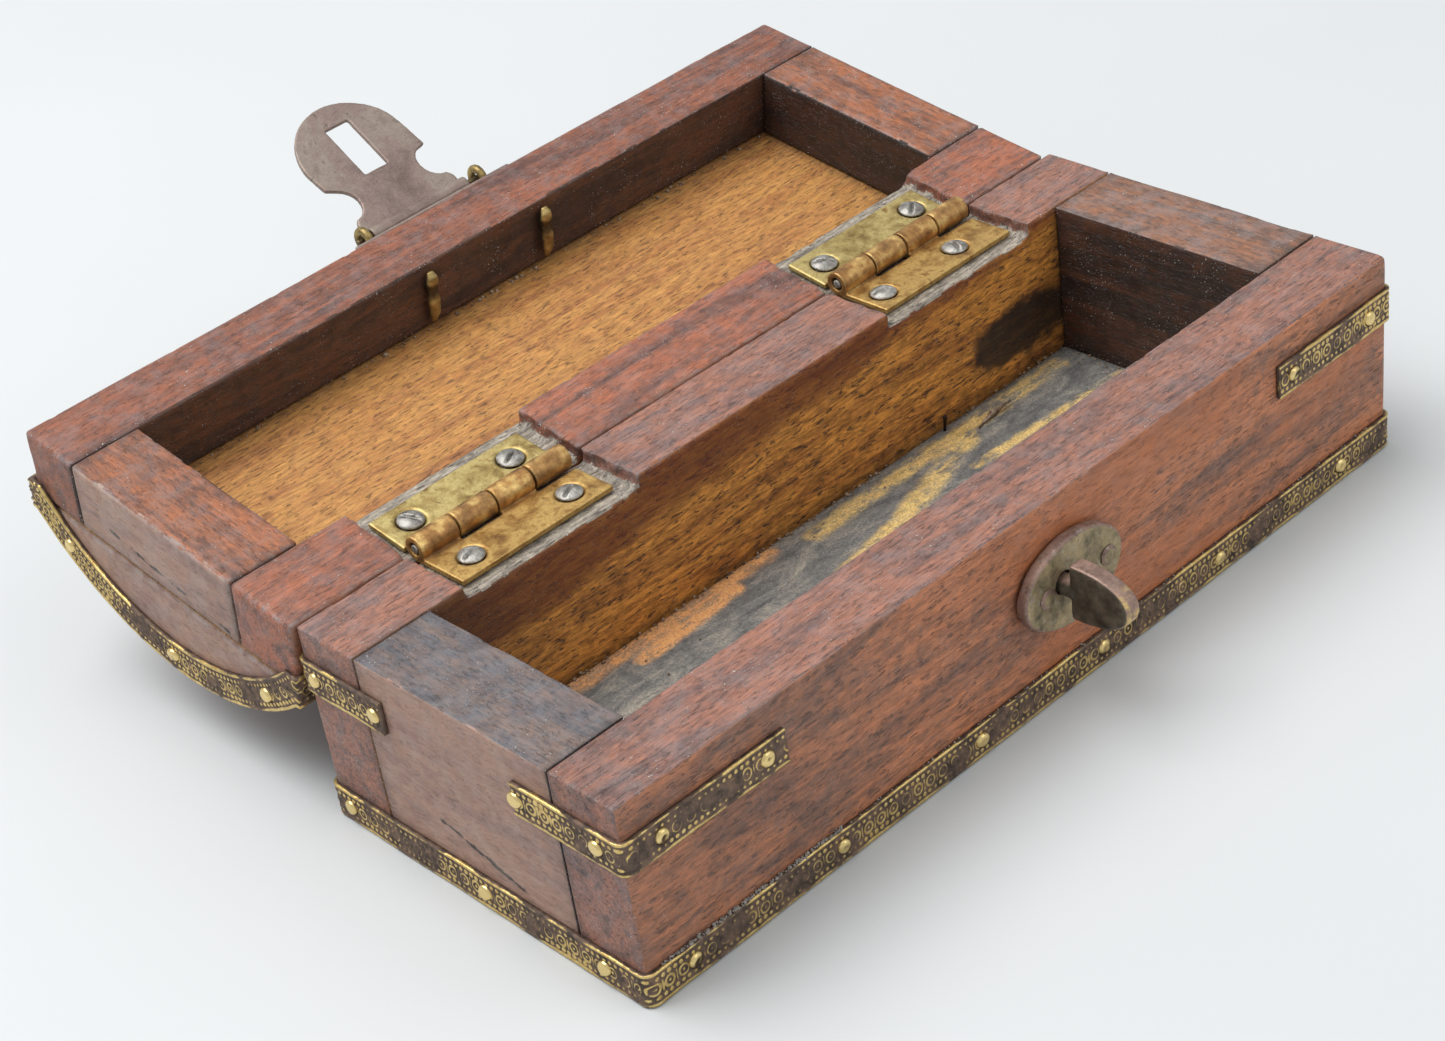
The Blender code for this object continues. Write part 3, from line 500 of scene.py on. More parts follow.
def wood_materials():
    grey = srgb(146, 134, 134)
    dust = srgb(172, 156, 148)
    red = stops((70, 52, 49), (118, 87, 79), (156, 104, 83), (114, 92, 90))
    lid_red = stops((70, 46, 40), (106, 68, 56), (144, 84, 58), (102, 70, 64))
    # A brighter copy of lid_red: painted light on the lid's back rim, which reads brighter than the rest of
    # the lid rim.
    painted_light_lid_red = stops((76, 50, 44), (120, 78, 64), (164, 96, 66), (118, 82, 74))
    warm = stops((74, 47, 40), (118, 74, 54), (162, 96, 58), (118, 76, 60))
    front = stops((88, 62, 54), (136, 92, 70), (186, 116, 76), (130, 94, 80))
    purple = stops((112, 88, 82), (144, 112, 100), (162, 126, 108), (128, 102, 94))
    brown = stops((84, 60, 52), (122, 84, 68), (158, 102, 74), (112, 84, 74))
    gold = stops((98, 60, 34), (184, 118, 56), (232, 158, 72), (148, 96, 50))
    honey = stops((142, 88, 52), (172, 116, 62), (190, 136, 72), (156, 100, 56))
    dark = stops((36, 27, 25), (54, 38, 32), (88, 54, 38), (48, 34, 30))
    black = stops((26, 20, 18), (40, 28, 24), (66, 40, 29), (36, 26, 23))
    inner = stops((40, 29, 27), (64, 44, 37), (98, 62, 44), (52, 37, 32))
    raw = stops((74, 68, 62), (140, 130, 118), (196, 184, 166), (96, 90, 84))
    slate = stops((60, 52, 54), (88, 84, 88), (122, 100, 90), (80, 76, 80))
    right = stops((66, 50, 44), (106, 80, 68), (150, 100, 72), (100, 82, 74))
    woods = {  # grain, tones, seed, haze and its colour, dust, what only it shows, figure, contrast
        "rim": ("x", red, 1, 0.26, grey, 1.0, None, 0.2, 1.3),
        "lid_rim": ("x", lid_red, 2, 0.25, grey),
        "lid_rim_painted_light": ("x", painted_light_lid_red, 16, 0.2, grey),
        "front": ("x", front, 3, 0.12, srgb(140, 122, 116), 0.3, front_stains, 0.14, 1.4),
        "end_rim": ("y", slate, 4, 0.4, srgb(122, 122, 126)),
        "right_rim": ("y", right, 5, 0.4, grey),
        "lid_left_rim": ("y", warm, 6, 0.25, grey),
        "lid_right_rim": ("y", warm, 15, 0.3, grey),
        "left_face": ("y", purple, 7, 0.25, dust, 0.2, LEFT_CRACKS, 0.2, 0.5),
        "outer": ("x", brown, 8, 0.2, srgb(146, 126, 118), 0.3, None, 0.14),
        "lid_end": ("y", purple, 9, 0.3, dust, 0.3, LID_CRACKS, 0.2, 0.5),
        "inner_wall": ("x", gold, 10, 0.1, srgb(120, 96, 70), 0.5, back_wall_stains, 0.3, 1.9),
        "dark": ("y", dark, 11, 0.25, srgb(70, 60, 56), 1.0),
        "black": ("y", black, 17, 0.15, srgb(60, 50, 46), 0.7),
        "lid_inner": ("x", inner, 12, 0.2, srgb(84, 70, 64), 0.8),
        "dome_inside": ("x", honey, 13, 0.1, srgb(190, 144, 100), 0.2, None, 0.2, 1.35),
        "recess": ("x", raw, 14, 0.25, srgb(134, 124, 114), 1.6, None, 0.6, 1.8),
    }
    return {name: rosewood(name + "_wood", *row) for name, row in woods.items()}


STREAKS = (  # (start, end, half-width) of the floor's ochre streaks, each start and end an (x, y)
    ((2.0, 13.6), (53.0, 14.4), 2.2),
    ((-4.0, 4.0), (13.0, 6.8), 1.9),
    ((13.0, 6.8), (31.0, 12.2), 2.6),
    ((27.0, 6.8), (56.0, 5.2), 1.3),
    ((-44.0, -4.0), (50.0, -7.0), 2.4),
)
BARE = (  # the same, of the orange wood where the stain is gone
    ((-57.0, 15.6), (-5.0, 16.2), 2.6),
    ((-31.0, 12.6), (-13.0, 13.6), 1.9),
)


def floor_material():
    """Dull grey boards with ochre streaks, orange where the stain is gone along the back."""
    paint = Paint("floor_wood", 0.7)
    slate_tones = stops((76, 76, 78), (126, 124, 120), (180, 170, 154))
    slate = paint.noise(0.35, (0.4, 1, 1), 6.0, 0.8, (0, 2, 4), 0.75)
    ochre_tones = stops((190, 153, 88), (236, 202, 130), (204, 170, 114))
    ochre = paint.tones(paint.noise(0.5, (0.3, 1, 1), 5.0), ochre_tones)
    ragged = paint.level(paint.noise(0.4, (0.4, 1, 1), 6.0, 0.0, (8, 2, 6), 0.75), 0.40, 0.52, 0.1, 1.0)
    height = local_box("base_floor")[1][2]
    colour = paint.tones(slate, slate_tones)
    for lines, tone, least in ((STREAKS, ochre, 0.0), (BARE, srgb(252, 184, 118), 0.5)):
        share = paint.math("MAXIMUM", ragged, least)
        for start, end, width in lines:
            streak = paint.crack((*start, height), (*end, height), width)
            colour = paint.tint(colour, tone, streak, share)
    grains = paint.noise(3.2, detail=4.0, rough=0.8)
    colour = paint.mix(1.0, colour, paint.level(grains, 0.3, 0.7, 0.7, 1.6), "MULTIPLY")
    colour, _, bumps = weathering(paint, colour, grains, 0.15, srgb(150, 144, 136), 1.8)
    return paint.done(colour, paint.level(grains, 0.3, 0.7, 0.62, 0.85), bumps, 0.3)


def embossed_brass():
    """Dark in the hollows and rubbed bright on what stands up, more in some places than in others."""
    paint = Paint("embossed_brass", 0.42, 1.0)
    high = paint.attribute("height")
    broad = paint.swing(paint.noise(0.16, detail=2.0), 2.3)
    close = paint.swing(paint.noise(0.7, detail=4.0), 1.1)
    rubbed = paint.level(paint.plus(high, paint.plus(broad, close)), 0.54, 0.86)
    dark = paint.tones(paint.noise(0.8, detail=4.0), stops((62, 50, 42), (98, 80, 68), (128, 102, 84)))
    bright = paint.tones(paint.noise(1.3), stops((190, 158, 92), (232, 206, 138)))
    colour = paint.mix(rubbed, dark, bright)
    roughness = paint.level(rubbed, 0.0, 1.0, 0.62, 0.36)
    metallic = paint.level(rubbed, 0.0, 1.0, 0.35, 0.9)
    return paint.done(colour, roughness, paint.noise(5.0, detail=2.0), 0.04, metallic)


def nail_brass():
    """Dark brown domes with a painted highlight on the side that faces up and forward, broken up by noise.
    """
    paint = Paint("nail_brass", 0.35, 0.9)
    # Painted highlight: lit is how far the dome faces up and forward, and worn, the bright share built from
    # it, is that highlight, not wear.
    lit = paint.vector("DOT_PRODUCT", paint.normal, (-0.5, -0.25, 0.82))
    patchy = paint.swing(paint.noise(0.25, detail=4.0), 1.6)
    worn = paint.level(paint.plus(lit, patchy), 0.02, 0.34)
    colour = paint.mix(worn, srgb(84, 66, 50), srgb(232, 206, 142))
    return paint.done(colour, paint.level(worn, 0.0, 1.0, 0.6, 0.3), paint.noise(4.0), 0.03)


def metal(name, tones, dirt, seed, bright=None, roughness=(0.38, 0.6), metallic=0.8, scale=0.35, extra=None):
    """Patinated metal: cloudy tones, dirt in the hollows, and edges rubbed to a brighter colour.
    extra(paint, colour) adds what only that piece shows."""
    paint = Paint(name, 0.45, metallic)
    shift = (seed * 3.7, seed * 1.9, seed * 8.3)
    cloud = paint.noise(scale, detail=6.0, warp=0.4, shift=shift, rough=0.65)
    colour = paint.tones(cloud, tones)
    if extra:
        colour = extra(paint, colour)
    fine = paint.noise(3.0, detail=4.0, shift=shift, rough=0.7)
    colour = paint.mix(1.0, colour, paint.level(fine, 0.25, 0.75, 0.84, 1.14), "MULTIPLY")
    edge = paint.attribute("edge")
    hollow = paint.times(paint.level(edge, -0.15, -0.6), 0.85)
    colour = paint.mix(hollow, colour, dirt)
    if bright:
        rubbed = paint.times(paint.level(edge, 0.3, 0.8), paint.level(paint.noise(0.9), 0.35, 0.6))
        colour = paint.tint(colour, bright, rubbed, 0.7)
    spots = paint.level(paint.noise(0.8, detail=4.0, shift=shift), 0.60, 0.72)
    colour = paint.tint(colour, dirt, spots, 0.35)
    rough = paint.level(cloud, 0.3, 0.7, *roughness)
    height = paint.minus(fine, spots)
    return paint.done(colour, rough, height, 0.03)


def barrel_tarnish(middle):
    """Red-brown along the knuckles about this point on their axis, gold at their tops."""

    def extra(paint, colour):
        offset = paint.vector("SUBTRACT", paint.place, tuple(middle))
        distance = paint.vector("LENGTH", paint.vector("MULTIPLY", offset, (0.0, 1.0, 1.0)))
        barrel = paint.level(distance, 3.0, 2.0)
        reds = stops((118, 80, 52), (172, 126, 76), (232, 198, 128))
        red = paint.tones(paint.noise(0.5, detail=4.0), reds)
        return paint.tint(colour, red, barrel, 0.85)

    return extra


def fin_wear(paint, colour):
    """Dark sides, a pinkish rubbed rim and bright gold where the tip is handled."""
    sideways = paint.vector("DOT_PRODUCT", paint.normal, (1.0, 0.0, 0.0))
    side = paint.level(paint.math("ABSOLUTE", sideways), 0.6, 0.9)
    dirty = paint.tones(paint.noise(0.5, detail=5.0), stops((50, 46, 40), (84, 78, 66), (112, 102, 88)))
    colour = paint.mix(side, colour, dirty)
    tip = paint.level(paint.axis((0, 1, 0)), -38.8, -41.4)
    rim = paint.minus(1.0, side)
    patch = paint.level(paint.noise(0.6, detail=3.0), 0.42, 0.6)
    gold = paint.times(paint.times(tip, rim), patch)
    return paint.mix(gold, colour, srgb(214, 184, 120))


def plate_wear(paint, colour):
    """A grey-green face with dirt about the knob, inside a pinkish rubbed rim."""
    face = paint.level(paint.vector("DOT_PRODUCT", paint.normal, (0.0, -1.0, 0.0)), 0.9, 0.98)
    green = paint.tones(paint.noise(0.5, detail=5.0), stops((96, 86, 66), (150, 134, 102), (180, 160, 122)))
    colour = paint.mix(face, colour, green)
    dusty = paint.level(paint.noise(1.2, detail=3.0), 0.56, 0.66)
    return paint.tint(colour, srgb(176, 170, 160), dusty, 0.35)


def tip_wear(paint, colour):
    """Wire that is dark at its fold and bright at its ends."""
    fold = paint.math("ABSOLUTE", paint.axis((0, 0, 1), 4.1))
    dark = paint.level(fold, 1.8, 0.5)
    return paint.tint(colour, srgb(60, 50, 42), dark, 0.85)


def metal_materials():
    dirt = srgb(44, 36, 30)
    olive = stops((136, 108, 64), (170, 146, 90), (196, 178, 120), (156, 124, 76))
    brown = stops((136, 98, 56), (174, 134, 76), (200, 166, 102), (150, 110, 62))
    tarnish, pale, gold = srgb(70, 52, 34), srgb(220, 196, 132), srgb(220, 190, 124)
    knuckles = Vector(JOINTS["lid_hinge"]["pos_m"]) / MM
    steel = stops((110, 106, 102), (154, 150, 144), (192, 190, 184))
    purple = stops((116, 97, 91), (141, 121, 114), (150, 136, 125), (124, 106, 99))
    pink = stops((112, 90, 82), (146, 120, 108), (172, 142, 126))
    copper = srgb(206, 166, 112)
    wire = stops((104, 88, 58), (156, 134, 86), (206, 182, 120))
    eye = stops((58, 50, 40), (104, 90, 66), (140, 122, 90))
    return {
        "lid_leaf": metal("lid_leaf_brass", olive, tarnish, 1, pale, extra=barrel_tarnish((0, 0, 0))),
        "base_leaf": metal("base_leaf_brass", brown, tarnish, 8, gold, extra=barrel_tarnish(knuckles)),
        "steel": metal("screw_steel", steel, dirt, 2, srgb(214, 212, 206), scale=0.8),
        "hasp": metal("hasp_brass", purple, dirt, 3, srgb(150, 126, 110), (0.42, 0.58), 0.5, 0.12),
        "fin": metal("knob_brass", pink, dirt, 4, srgb(186, 152, 118), (0.4, 0.6), 0.55, 0.3, fin_wear),
        "plate": metal("plate_brass", pink, dirt, 6, copper, (0.4, 0.65), 0.55, 0.3, plate_wear),
        "wire": metal("wire_brass", wire, dirt, 5, srgb(232, 210, 146), scale=0.6, extra=tip_wear),
        "pin": metal("pin_brass", eye, dirt, 7, srgb(168, 146, 100), scale=0.6),
    }


def crumb_material(name, tones):
    paint = Paint(name, 0.9)
    colour = paint.tones(paint.noise(1.4, detail=4.0), tones)
    roughness = paint.level(paint.noise(3.0), 0.3, 0.7, 0.8, 0.95)
    return paint.done(colour, roughness, paint.noise(5.0, detail=3.0), 0.1)


# Boards.


BASE_BOARDS = ("base_front_wall", "base_back_wall", "base_left_end", "base_right_end", "base_floor")
LID_BOARDS = ("lid_front_wall", "lid_back_wall", "lid_left_end", "lid_right_end", "lid_dome")


def recesses(body):
    """The hinges' recesses in a back wall, as (low, high) corners."""
    boxes = []
    for side, (left, right) in zip(("left", "right"), RECESS_SPANS):
        floor = local_box(f"hinge_{side}_{body}_leaf", PLACES[body])[0][2] - RECESS_CLEARANCE
        boxes.append((np.array((left, -60.0, floor)), np.array((right, 60.0, floor + 30.0))))
    return boxes


def wear(obj, neighbours, cuts, seed):
    """Rounds the arrises unevenly, chips them, leaves rough wood in the cuts, and notes edges and seams."""
    mesh = obj.data
    points, normals = vertex_array(mesh), vertex_array(mesh, "normal")
    soft = smoothed(mesh, points, WEAR_ROUNDS)
    convex = np.einsum("ij,ij->i", points - soft, normals)
    gap = np.full(len(points), 99.0)
    for low, high in neighbours:
        gap = np.minimum(gap, distance_to_box(points, low, high))
    seam = np.exp(-gap / 0.9)
    free = 1 - 0.85 * ramp(seam, 0.25, 0.6)
    uneven = WEAR_STRENGTH * (0.45 + 0.9 * ramp(noise(points, 9.0, seed), 0.35, 0.8))
    points = points + (soft - points) * (np.clip(uneven, 0, 1) * free)[:, None]
    edge = np.clip(convex / (0.11 * BOARD_GRAIN * WEAR_ROUNDS), -1, 1)
    chipped = ramp(noise(points, 2.2, seed + 5), 0.72, 0.95) * ramp(edge, 0.3, 0.8) * free
    rough = np.zeros(len(points))
    ends = np.zeros(len(points))
    for low, high in cuts:
        rough = np.maximum(rough, ramp(distance_to_box(points, low, high), 0.5, 0.0))
        for end in (low[0], high[0]):
            ends = np.maximum(ends, ramp(np.abs(points[:, 0] - end), 2.0, 0.6))
    ragged = rough * (0.12 + 0.7 * ends) * (noise(points, 1.1, seed + 3) - 0.5)
    wavy = 0.10 * (noise(points, 14.0, seed + 9) - 0.5)
    points -= normals * (CHIP_DEPTH * chipped + wavy + ragged)[:, None]
    move_vertices(mesh, points)
    set_attribute(mesh, "edge", edge)
    set_attribute(mesh, "seam", np.maximum(seam, 0.5 * rough))


def board(node, materials, tests=(), cuts=(), grain=BOARD_GRAIN):
    """A worn board in place of a CAD one. Ends grow a little towards the walls, to close their seams."""
    body = node.split("_")[0]
    place = PLACES[body]
    low, high = local_box(node, place)
    if node == "lid_dome":
        obj = node_object("worn_lid_dome", node, place)
    else:
        if node.endswith("_end"):
            low, high = low - (0, SEAM_GROWTH, 0), high + (0, SEAM_GROWTH, 0)
        obj = box_object("worn_" + node, low, high)
    remesh(obj, grain, [box_object("recess", *cut) for cut in cuts])
    others = [other for other in (BASE_BOARDS if body == "base" else LID_BOARDS) if other != node]
    seed = (BASE_BOARDS + LID_BOARDS).index(node)
    wear(obj, [local_box(other, place) for other in others], cuts, seed)
    paint_faces(obj.data, (None, *tests))
    return finish_piece(obj, body, [node], materials)


def faces(axis, sign):
    return lambda centres, normals: sign * normals[:, axis] > 0.55


WALLS = (  # (node, its woods on the rim, outside, inside and in the recesses, axis and sign of its outside)
    ("base_front_wall", ("rim", "front", "lid_inner"), 1, -1),
    ("base_back_wall", ("rim", "outer", "inner_wall", "recess"), 1, 1),
    ("base_left_end", ("end_rim", "left_face", "dark"), 0, -1),
    ("base_right_end", ("right_rim", "left_face", "dark"), 0, 1),
    ("lid_front_wall", ("lid_rim", "outer", "lid_inner"), 1, 1),
    # The lid back wall's rim takes the brighter copy of the lid rim's wood, which is painted light.
    ("lid_back_wall", ("lid_rim_painted_light", "outer", "lid_inner", "recess"), 1, -1),
    ("lid_left_end", ("lid_left_rim", "lid_end", "dark"), 0, -1),
    ("lid_right_end", ("lid_right_rim", "lid_end", "black"), 0, 1),
)


def boards(wood):
    """Every board of the base and the lid. sunk is the height under which a back wall is in a recess."""
    sunk = {"base": local_box("base_back_wall")[1][2] - 1.2, "lid": -1.5}
    for node, names, axis, outside in WALLS:
        body = node.split("_")[0]
        tests = [faces(axis, outside), faces(axis, -outside)]
        cuts = ()
        if node.endswith("back_wall"):
            tests.append(lambda c, n, top=sunk[body]: (n[:, 2] > 0.5) & (c[:, 2] < top))
            cuts = recesses(body)
        board(node, [wood[name] for name in names], tests, cuts)
    board("base_floor", (floor_material(),))
    dome_woods = (wood["outer"], wood["lid_end"], wood["dome_inside"])
    board("lid_dome", dome_woods, (lambda c, n: np.abs(n[:, 0]) > 0.55, faces(2, 1)), grain=0.6)


# Embossed strips.


def strip_width():
    low, high = local_box("base_foot_strip_front")
    return high[2] - low[2]


def emboss(s, v, width):
    """Height of the pattern at s along the strip and v across it: rims, beads, and rings between bars."""
    rim = np.maximum(ramp(v, 0.5, 0.25), ramp(v, width - 0.5, width - 0.25))
    heights = 0.15 * rim
    for row in (0.95, width - 0.95):
        offset = (s + row) % BEAD_PITCH - BEAD_PITCH / 2
        bead = 1 - (offset ** 2 + (v - row) ** 2) / 0.37 ** 2
        heights = np.maximum(heights, 0.18 * np.sqrt(np.clip(bead, 0, 1)))
    along = s % RING_PITCH - RING_PITCH / 2
    across = v - width / 2
    radius = np.hypot(along, 0.9 * across)
    ring = np.maximum(np.exp(-((radius - 0.68) / 0.18) ** 2), np.exp(-(radius / 0.24) ** 2))
    bar = np.exp(-((np.abs(along) - RING_PITCH / 2) / 0.16) ** 2) * (np.abs(across) < 0.85)
    return np.maximum(heights, 0.16 * np.maximum(ring, 0.8 * bar))


def ribbon(name, columns, body, nodes, material, width, seed, closed=False):
    """A strip from columns of (points on the wood, outward direction, s, v), with embossing and sides."""
    points = np.array([c[0] for c in columns])
    out = np.array([c[1] for c in columns])[:, None, :]
    s = np.array([np.broadcast_to(c[2], len(c[3])) for c in columns])
    v = np.array([c[3] for c in columns])
    relief = emboss(s, v, width)
    flat = points.reshape(-1, 3)
    swell = 0.12 * (noise(flat, 5.0, seed) - 0.5) + 0.05 * (noise(flat, 1.3, seed + 1) - 0.5)
    top = points + out * (STRIP_STAND + relief + swell.reshape(s.shape))[:, :, None]
    count, across = s.shape
    low_edge, high_edge = points[:, 0] + 0.02 * out[:, 0], points[:, -1] + 0.02 * out[:, 0]
    rows = np.concatenate((low_edge[:, None], top, high_edge[:, None]), axis=1)
    wide = across + 2
    index = np.arange(count * wide).reshape(count, wide)
    if closed:
        index = np.concatenate((index, index[:1]))
    ring = np.concatenate((index, index[:, :1]), axis=1)
    quads = np.stack((ring[:-1, :-1], ring[1:, :-1], ring[1:, 1:], ring[:-1, 1:]), axis=-1).reshape(-1, 4)
    faces_list = quads.tolist()
    if not closed:
        faces_list += [index[0].tolist(), index[-1].tolist()[::-1]]
    mesh = bpy.data.meshes.new(name)
    mesh.from_pydata(rows.reshape(-1, 3).tolist(), [], faces_list)
    height = np.concatenate((np.zeros((count, 1)), relief / 0.17, np.zeros((count, 1))), axis=1)
    set_attribute(mesh, "height", height.ravel())
    obj = new_object(name, mesh)
    shape = bmesh.new()
    shape.from_mesh(mesh)
    bmesh.ops.recalc_face_normals(shape, faces=shape.faces)
    shape.to_mesh(mesh)
    shape.free()
    return finish_piece(obj, body, nodes, (material,))


def bent_columns(corners, low, high, radius=0.6, closed=False):
    """Columns of an upright strip along a path of (x, y) corners, bent round each with a small radius."""
    path = []
    count = len(corners)
    for i, corner in enumerate(corners):
        here = Vector(corner)
        if not closed and i in (0, count - 1):
            path.append(here)
            continue
        before, after = Vector(corners[i - 1]), Vector(corners[(i + 1) % count])
        to_before, to_after = (before - here).normalized(), (after - here).normalized()
        centre = here + radius * (to_before + to_after)
        for step in range(7):
            turn = step / 6 * math.pi / 2
            path.append(centre - radius * (to_after * math.cos(turn) + to_before * math.sin(turn)))
    if closed:
        path.append(path[0])
    columns = []
    travelled = 0.0
    v = np.linspace(0, high - low, int((high - low) / STRIP_GRAIN))
    for start, end in zip(path, path[1:]):
        run = end - start
        steps = max(1, int(run.length / STRIP_GRAIN))
        side = Vector((run.y, -run.x)).normalized()
        for k in range(steps):
            at = start + run * (k / steps)
            points = np.stack((np.full_like(v, at.x), np.full_like(v, at.y), low + v), axis=1)
            columns.append((points, np.array((side.x, side.y, 0.0)), travelled + run.length * k / steps, v))
        travelled += run.length
    return columns


def base_strips(brass):
    wall_low, wall_high = local_box("base_front_wall")
    x, front = wall_high[0], wall_low[1]
    back = local_box("base_back_wall")[1][1]
    low, high = local_box("base_foot_strip_front")
    outline = [(-x, front), (x, front), (x, back), (-x, back)]
    columns = bent_columns(outline, low[2], high[2], 0.9, True)
    nodes = [f"base_foot_strip_{side}" for side in ("front", "back", "left", "right")]
    ribbon("foot_strip", columns, "base", nodes, brass, high[2] - low[2], 1, True)
    for seed, (name, x_sign, y_sign) in enumerate((
        ("front_left", -1, -1), ("front_right", 1, -1), ("back_right", 1, 1), ("back_left", -1, 1),
    )):
        node = "base_corner_strip_" + name
        low, high = local_box(node)
        corner = (x_sign * x, front if y_sign < 0 else back)
        along_x = (high[0] if x_sign < 0 else low[0], corner[1])
        along_y = (corner[0], high[1] if y_sign < 0 else low[1])
        path = [along_y, corner, along_x] if x_sign == y_sign else [along_x, corner, along_y]
        columns = bent_columns(path, low[2], high[2])
        ribbon("corner_strip_" + name, columns, "base", [node], brass, high[2] - low[2], 10 + seed)


def dome_measures():
    """(middle, centre height, radius) of the dome's arc, from its board."""
    low, high = local_box("lid_dome", LID)
    points = local_points("lid_dome", LID)
    lower = points[np.abs(points[:, 1] - high[1]) < 0.05]
    edge = lower[:, 2].min()
    half = (high[1] - low[1]) / 2
    sagitta = edge - low[2]
    radius = (half * half + sagitta * sagitta) / (2 * sagitta)
    return (low[1] + high[1]) / 2, low[2] + radius, radius


def lid_strips(brass):
    middle, height, radius = dome_measures()
    (left, back, _), (right, front, _) = local_box("lid_dome", LID)
    width = strip_width()
    half = (front - back) / 2
    edge = height - math.sqrt(radius ** 2 - half ** 2)
    rows = int(width / STRIP_GRAIN) + 3
    share = np.linspace(0, 1, rows)
    for name, x, sign, seed in (("left", left, -1, 21), ("right", right, 1, 22)):
        low, high = local_box("lid_strip_" + name, LID)
        tab_end = high[0] if sign < 0 else low[0]
        arc_length = radius * math.asin(half / radius)
        columns = []

        def tab(y, out, outward):
            steps = int(abs(tab_end - x) / STRIP_GRAIN)
            made = []
            for k in range(1, steps + 1):
                run = abs(tab_end - x) * k / steps
                v = share * width
                points = np.stack((np.full(rows, x - sign * run), np.full(rows, y), edge + v), axis=1)
                made.append((points, np.array((0.0, out, 0.0)), outward * (arc_length + run), v))
            return made

        columns += reversed(tab(back, -1.0, -1))
        steps = int(2 * half / STRIP_GRAIN)
        for k in range(steps + 1):
            d = -half + 2 * half * k / steps
            outer = height - math.sqrt(radius ** 2 - d ** 2)
            inner = min(height - math.sqrt((radius - width) ** 2 - d ** 2), edge + width)
            z = outer + share * (inner - outer)
            v = radius - np.hypot(d, height - z)
            s = radius * np.arctan2(d, height - z)
            points = np.stack((np.full(rows, x), np.full(rows, middle + d), z), axis=1)
            out = np.array((float(sign), 0.0, 0.0))
            if k in (0, steps):
                out = out + np.array((0.0, -1.0 if k == 0 else 1.0, 0.0))
            columns.append((points, out, s, v))
        columns += tab(front, 1.0, 1)
        ribbon("lid_edge_strip_" + name, columns, "lid", ["lid_strip_" + name], brass, width, seed)


def turned(profile, sides):
    """A closed turned shape about Z. The profile's (radius, height) points start and end on the axis."""
    shape = bmesh.new()
    points = [shape.verts.new((radius, 0.0, height)) for radius, height in profile]
    edges = [shape.edges.new(pair) for pair in zip(points, points[1:])]
    bmesh.ops.spin(
        shape, geom=points + edges, cent=(0, 0, 0), axis=(0, 0, 1), angle=2 * math.pi, steps=sides
    )
    bmesh.ops.remove_doubles(shape, verts=shape.verts, dist=0.001)
    bmesh.ops.recalc_face_normals(shape, faces=shape.faces)
    mesh = bpy.data.meshes.new("turned")
    shape.to_mesh(mesh)
    shape.free()
    return mesh


def nails(name, places, body, material, seed):
    """Small round nail heads with a low dome, each a little crooked. places hold (point, outward)."""
    dome = [(0, 0.40), (0.3, 0.42), (0.6, 0.46), (0.82, 0.40), (1.0, 0.24)]
    profile = dome + [(1.1, 0.0), (1.1, -0.3), (0, -0.3)]
    shape = bmesh.new()
    heights = []
    for i, (point, outward) in enumerate(places):
        mesh = turned([(r * NAIL_RADIUS / 1.1, h) for r, h in profile], 16)
        chance = hashed(np.array([[i, 1, 2], [i, 3, 4], [i, 5, 6]]), seed)
        turn = Vector(outward).to_track_quat("Z", "Y").to_matrix().to_4x4()
        lean = 0.35 * (chance - 0.5)
        tilt = Matrix.Rotation(lean[0], 4, "X") @ Matrix.Rotation(lean[1], 4, "Y")
        size = Matrix.Diagonal((0.92 + 0.16 * chance[2], 1.0, 1.0, 1.0))
        heights += [co.co.z / 0.46 for co in mesh.vertices]
        mesh.transform(Matrix.Translation(Vector(point)) @ turn @ tilt @ size)
        shape.from_mesh(mesh)
        bpy.data.meshes.remove(mesh)
    mesh = bpy.data.meshes.new(name)
    shape.to_mesh(mesh)
    shape.free()
    set_attribute(mesh, "height", np.clip(heights, 0, 1))
    return finish_piece(new_object(name, mesh), body, [], (material,))


def all_nails(material):
    stand = STRIP_STAND + 0.1
    wall_low, wall_high = local_box("base_front_wall")
    x, front = wall_high[0], wall_low[1]
    back = local_box("base_back_wall")[1][1]
    foot = sum(b[2] for b in local_box("base_foot_strip_front")) / 2
    corner = sum(b[2] for b in local_box("base_corner_strip_front_left")) / 2
    places = []
    for at in (-63.1, -38.5, -13.8, 9.4, 32.9, 59.0):
        places.append(((at, front - stand, foot), (0, -1, 0)))
        places.append(((-at, back + stand, foot), (0, 1, 0)))
    for at in (25.4, -0.7, -21.9):
        places.append(((-x - stand, at, foot), (-1, 0, 0)))
        places.append(((x + stand, -at, foot), (1, 0, 0)))
    for at in (-64.7, -48.1, 49.1, 65.4):
        places.append(((at, front - stand, corner), (0, -1, 0)))
    for at in (-64.5, -55.0, 55.0, 64.5):
        places.append(((at, back + stand, corner), (0, 1, 0)))
    for at in (26.3, 14.7, -11.1, -24.8):
        places.append(((-x - stand, at, corner), (-1, 0, 0)))
        places.append(((x + stand, at, corner), (1, 0, 0)))
    nails("base_nails", places, "base", material, 31)

    middle, height, radius = dome_measures()
    (left, lid_back, _), (right, lid_front, _) = local_box("lid_dome", LID)
    edge = local_box("lid_strip_left", LID)
    width = strip_width()
    places = []
    for d in (-21.5, -0.5, 21.0):
        inset = radius - width / 2
        z = height - math.sqrt(inset ** 2 - d ** 2)
        places.append(((left - stand, middle + d, z), (-1, 0, 0)))
        places.append(((right + stand, middle - d, z), (1, 0, 0)))
    tab = height - math.sqrt(radius ** 2 - ((lid_front - lid_back) / 2) ** 2) + width / 2
    for at, sign in ((left, 1), (right, -1)):
        for run in (4.0, edge[1][0] - left - 2.6):
            places.append(((at + sign * run, lid_front + stand, tab), (0, 1, 0)))
            places.append(((at + sign * run, lid_back - stand, tab), (0, -1, 0)))
    nails("lid_nails", places, "lid", material, 32)


# Metalwork.


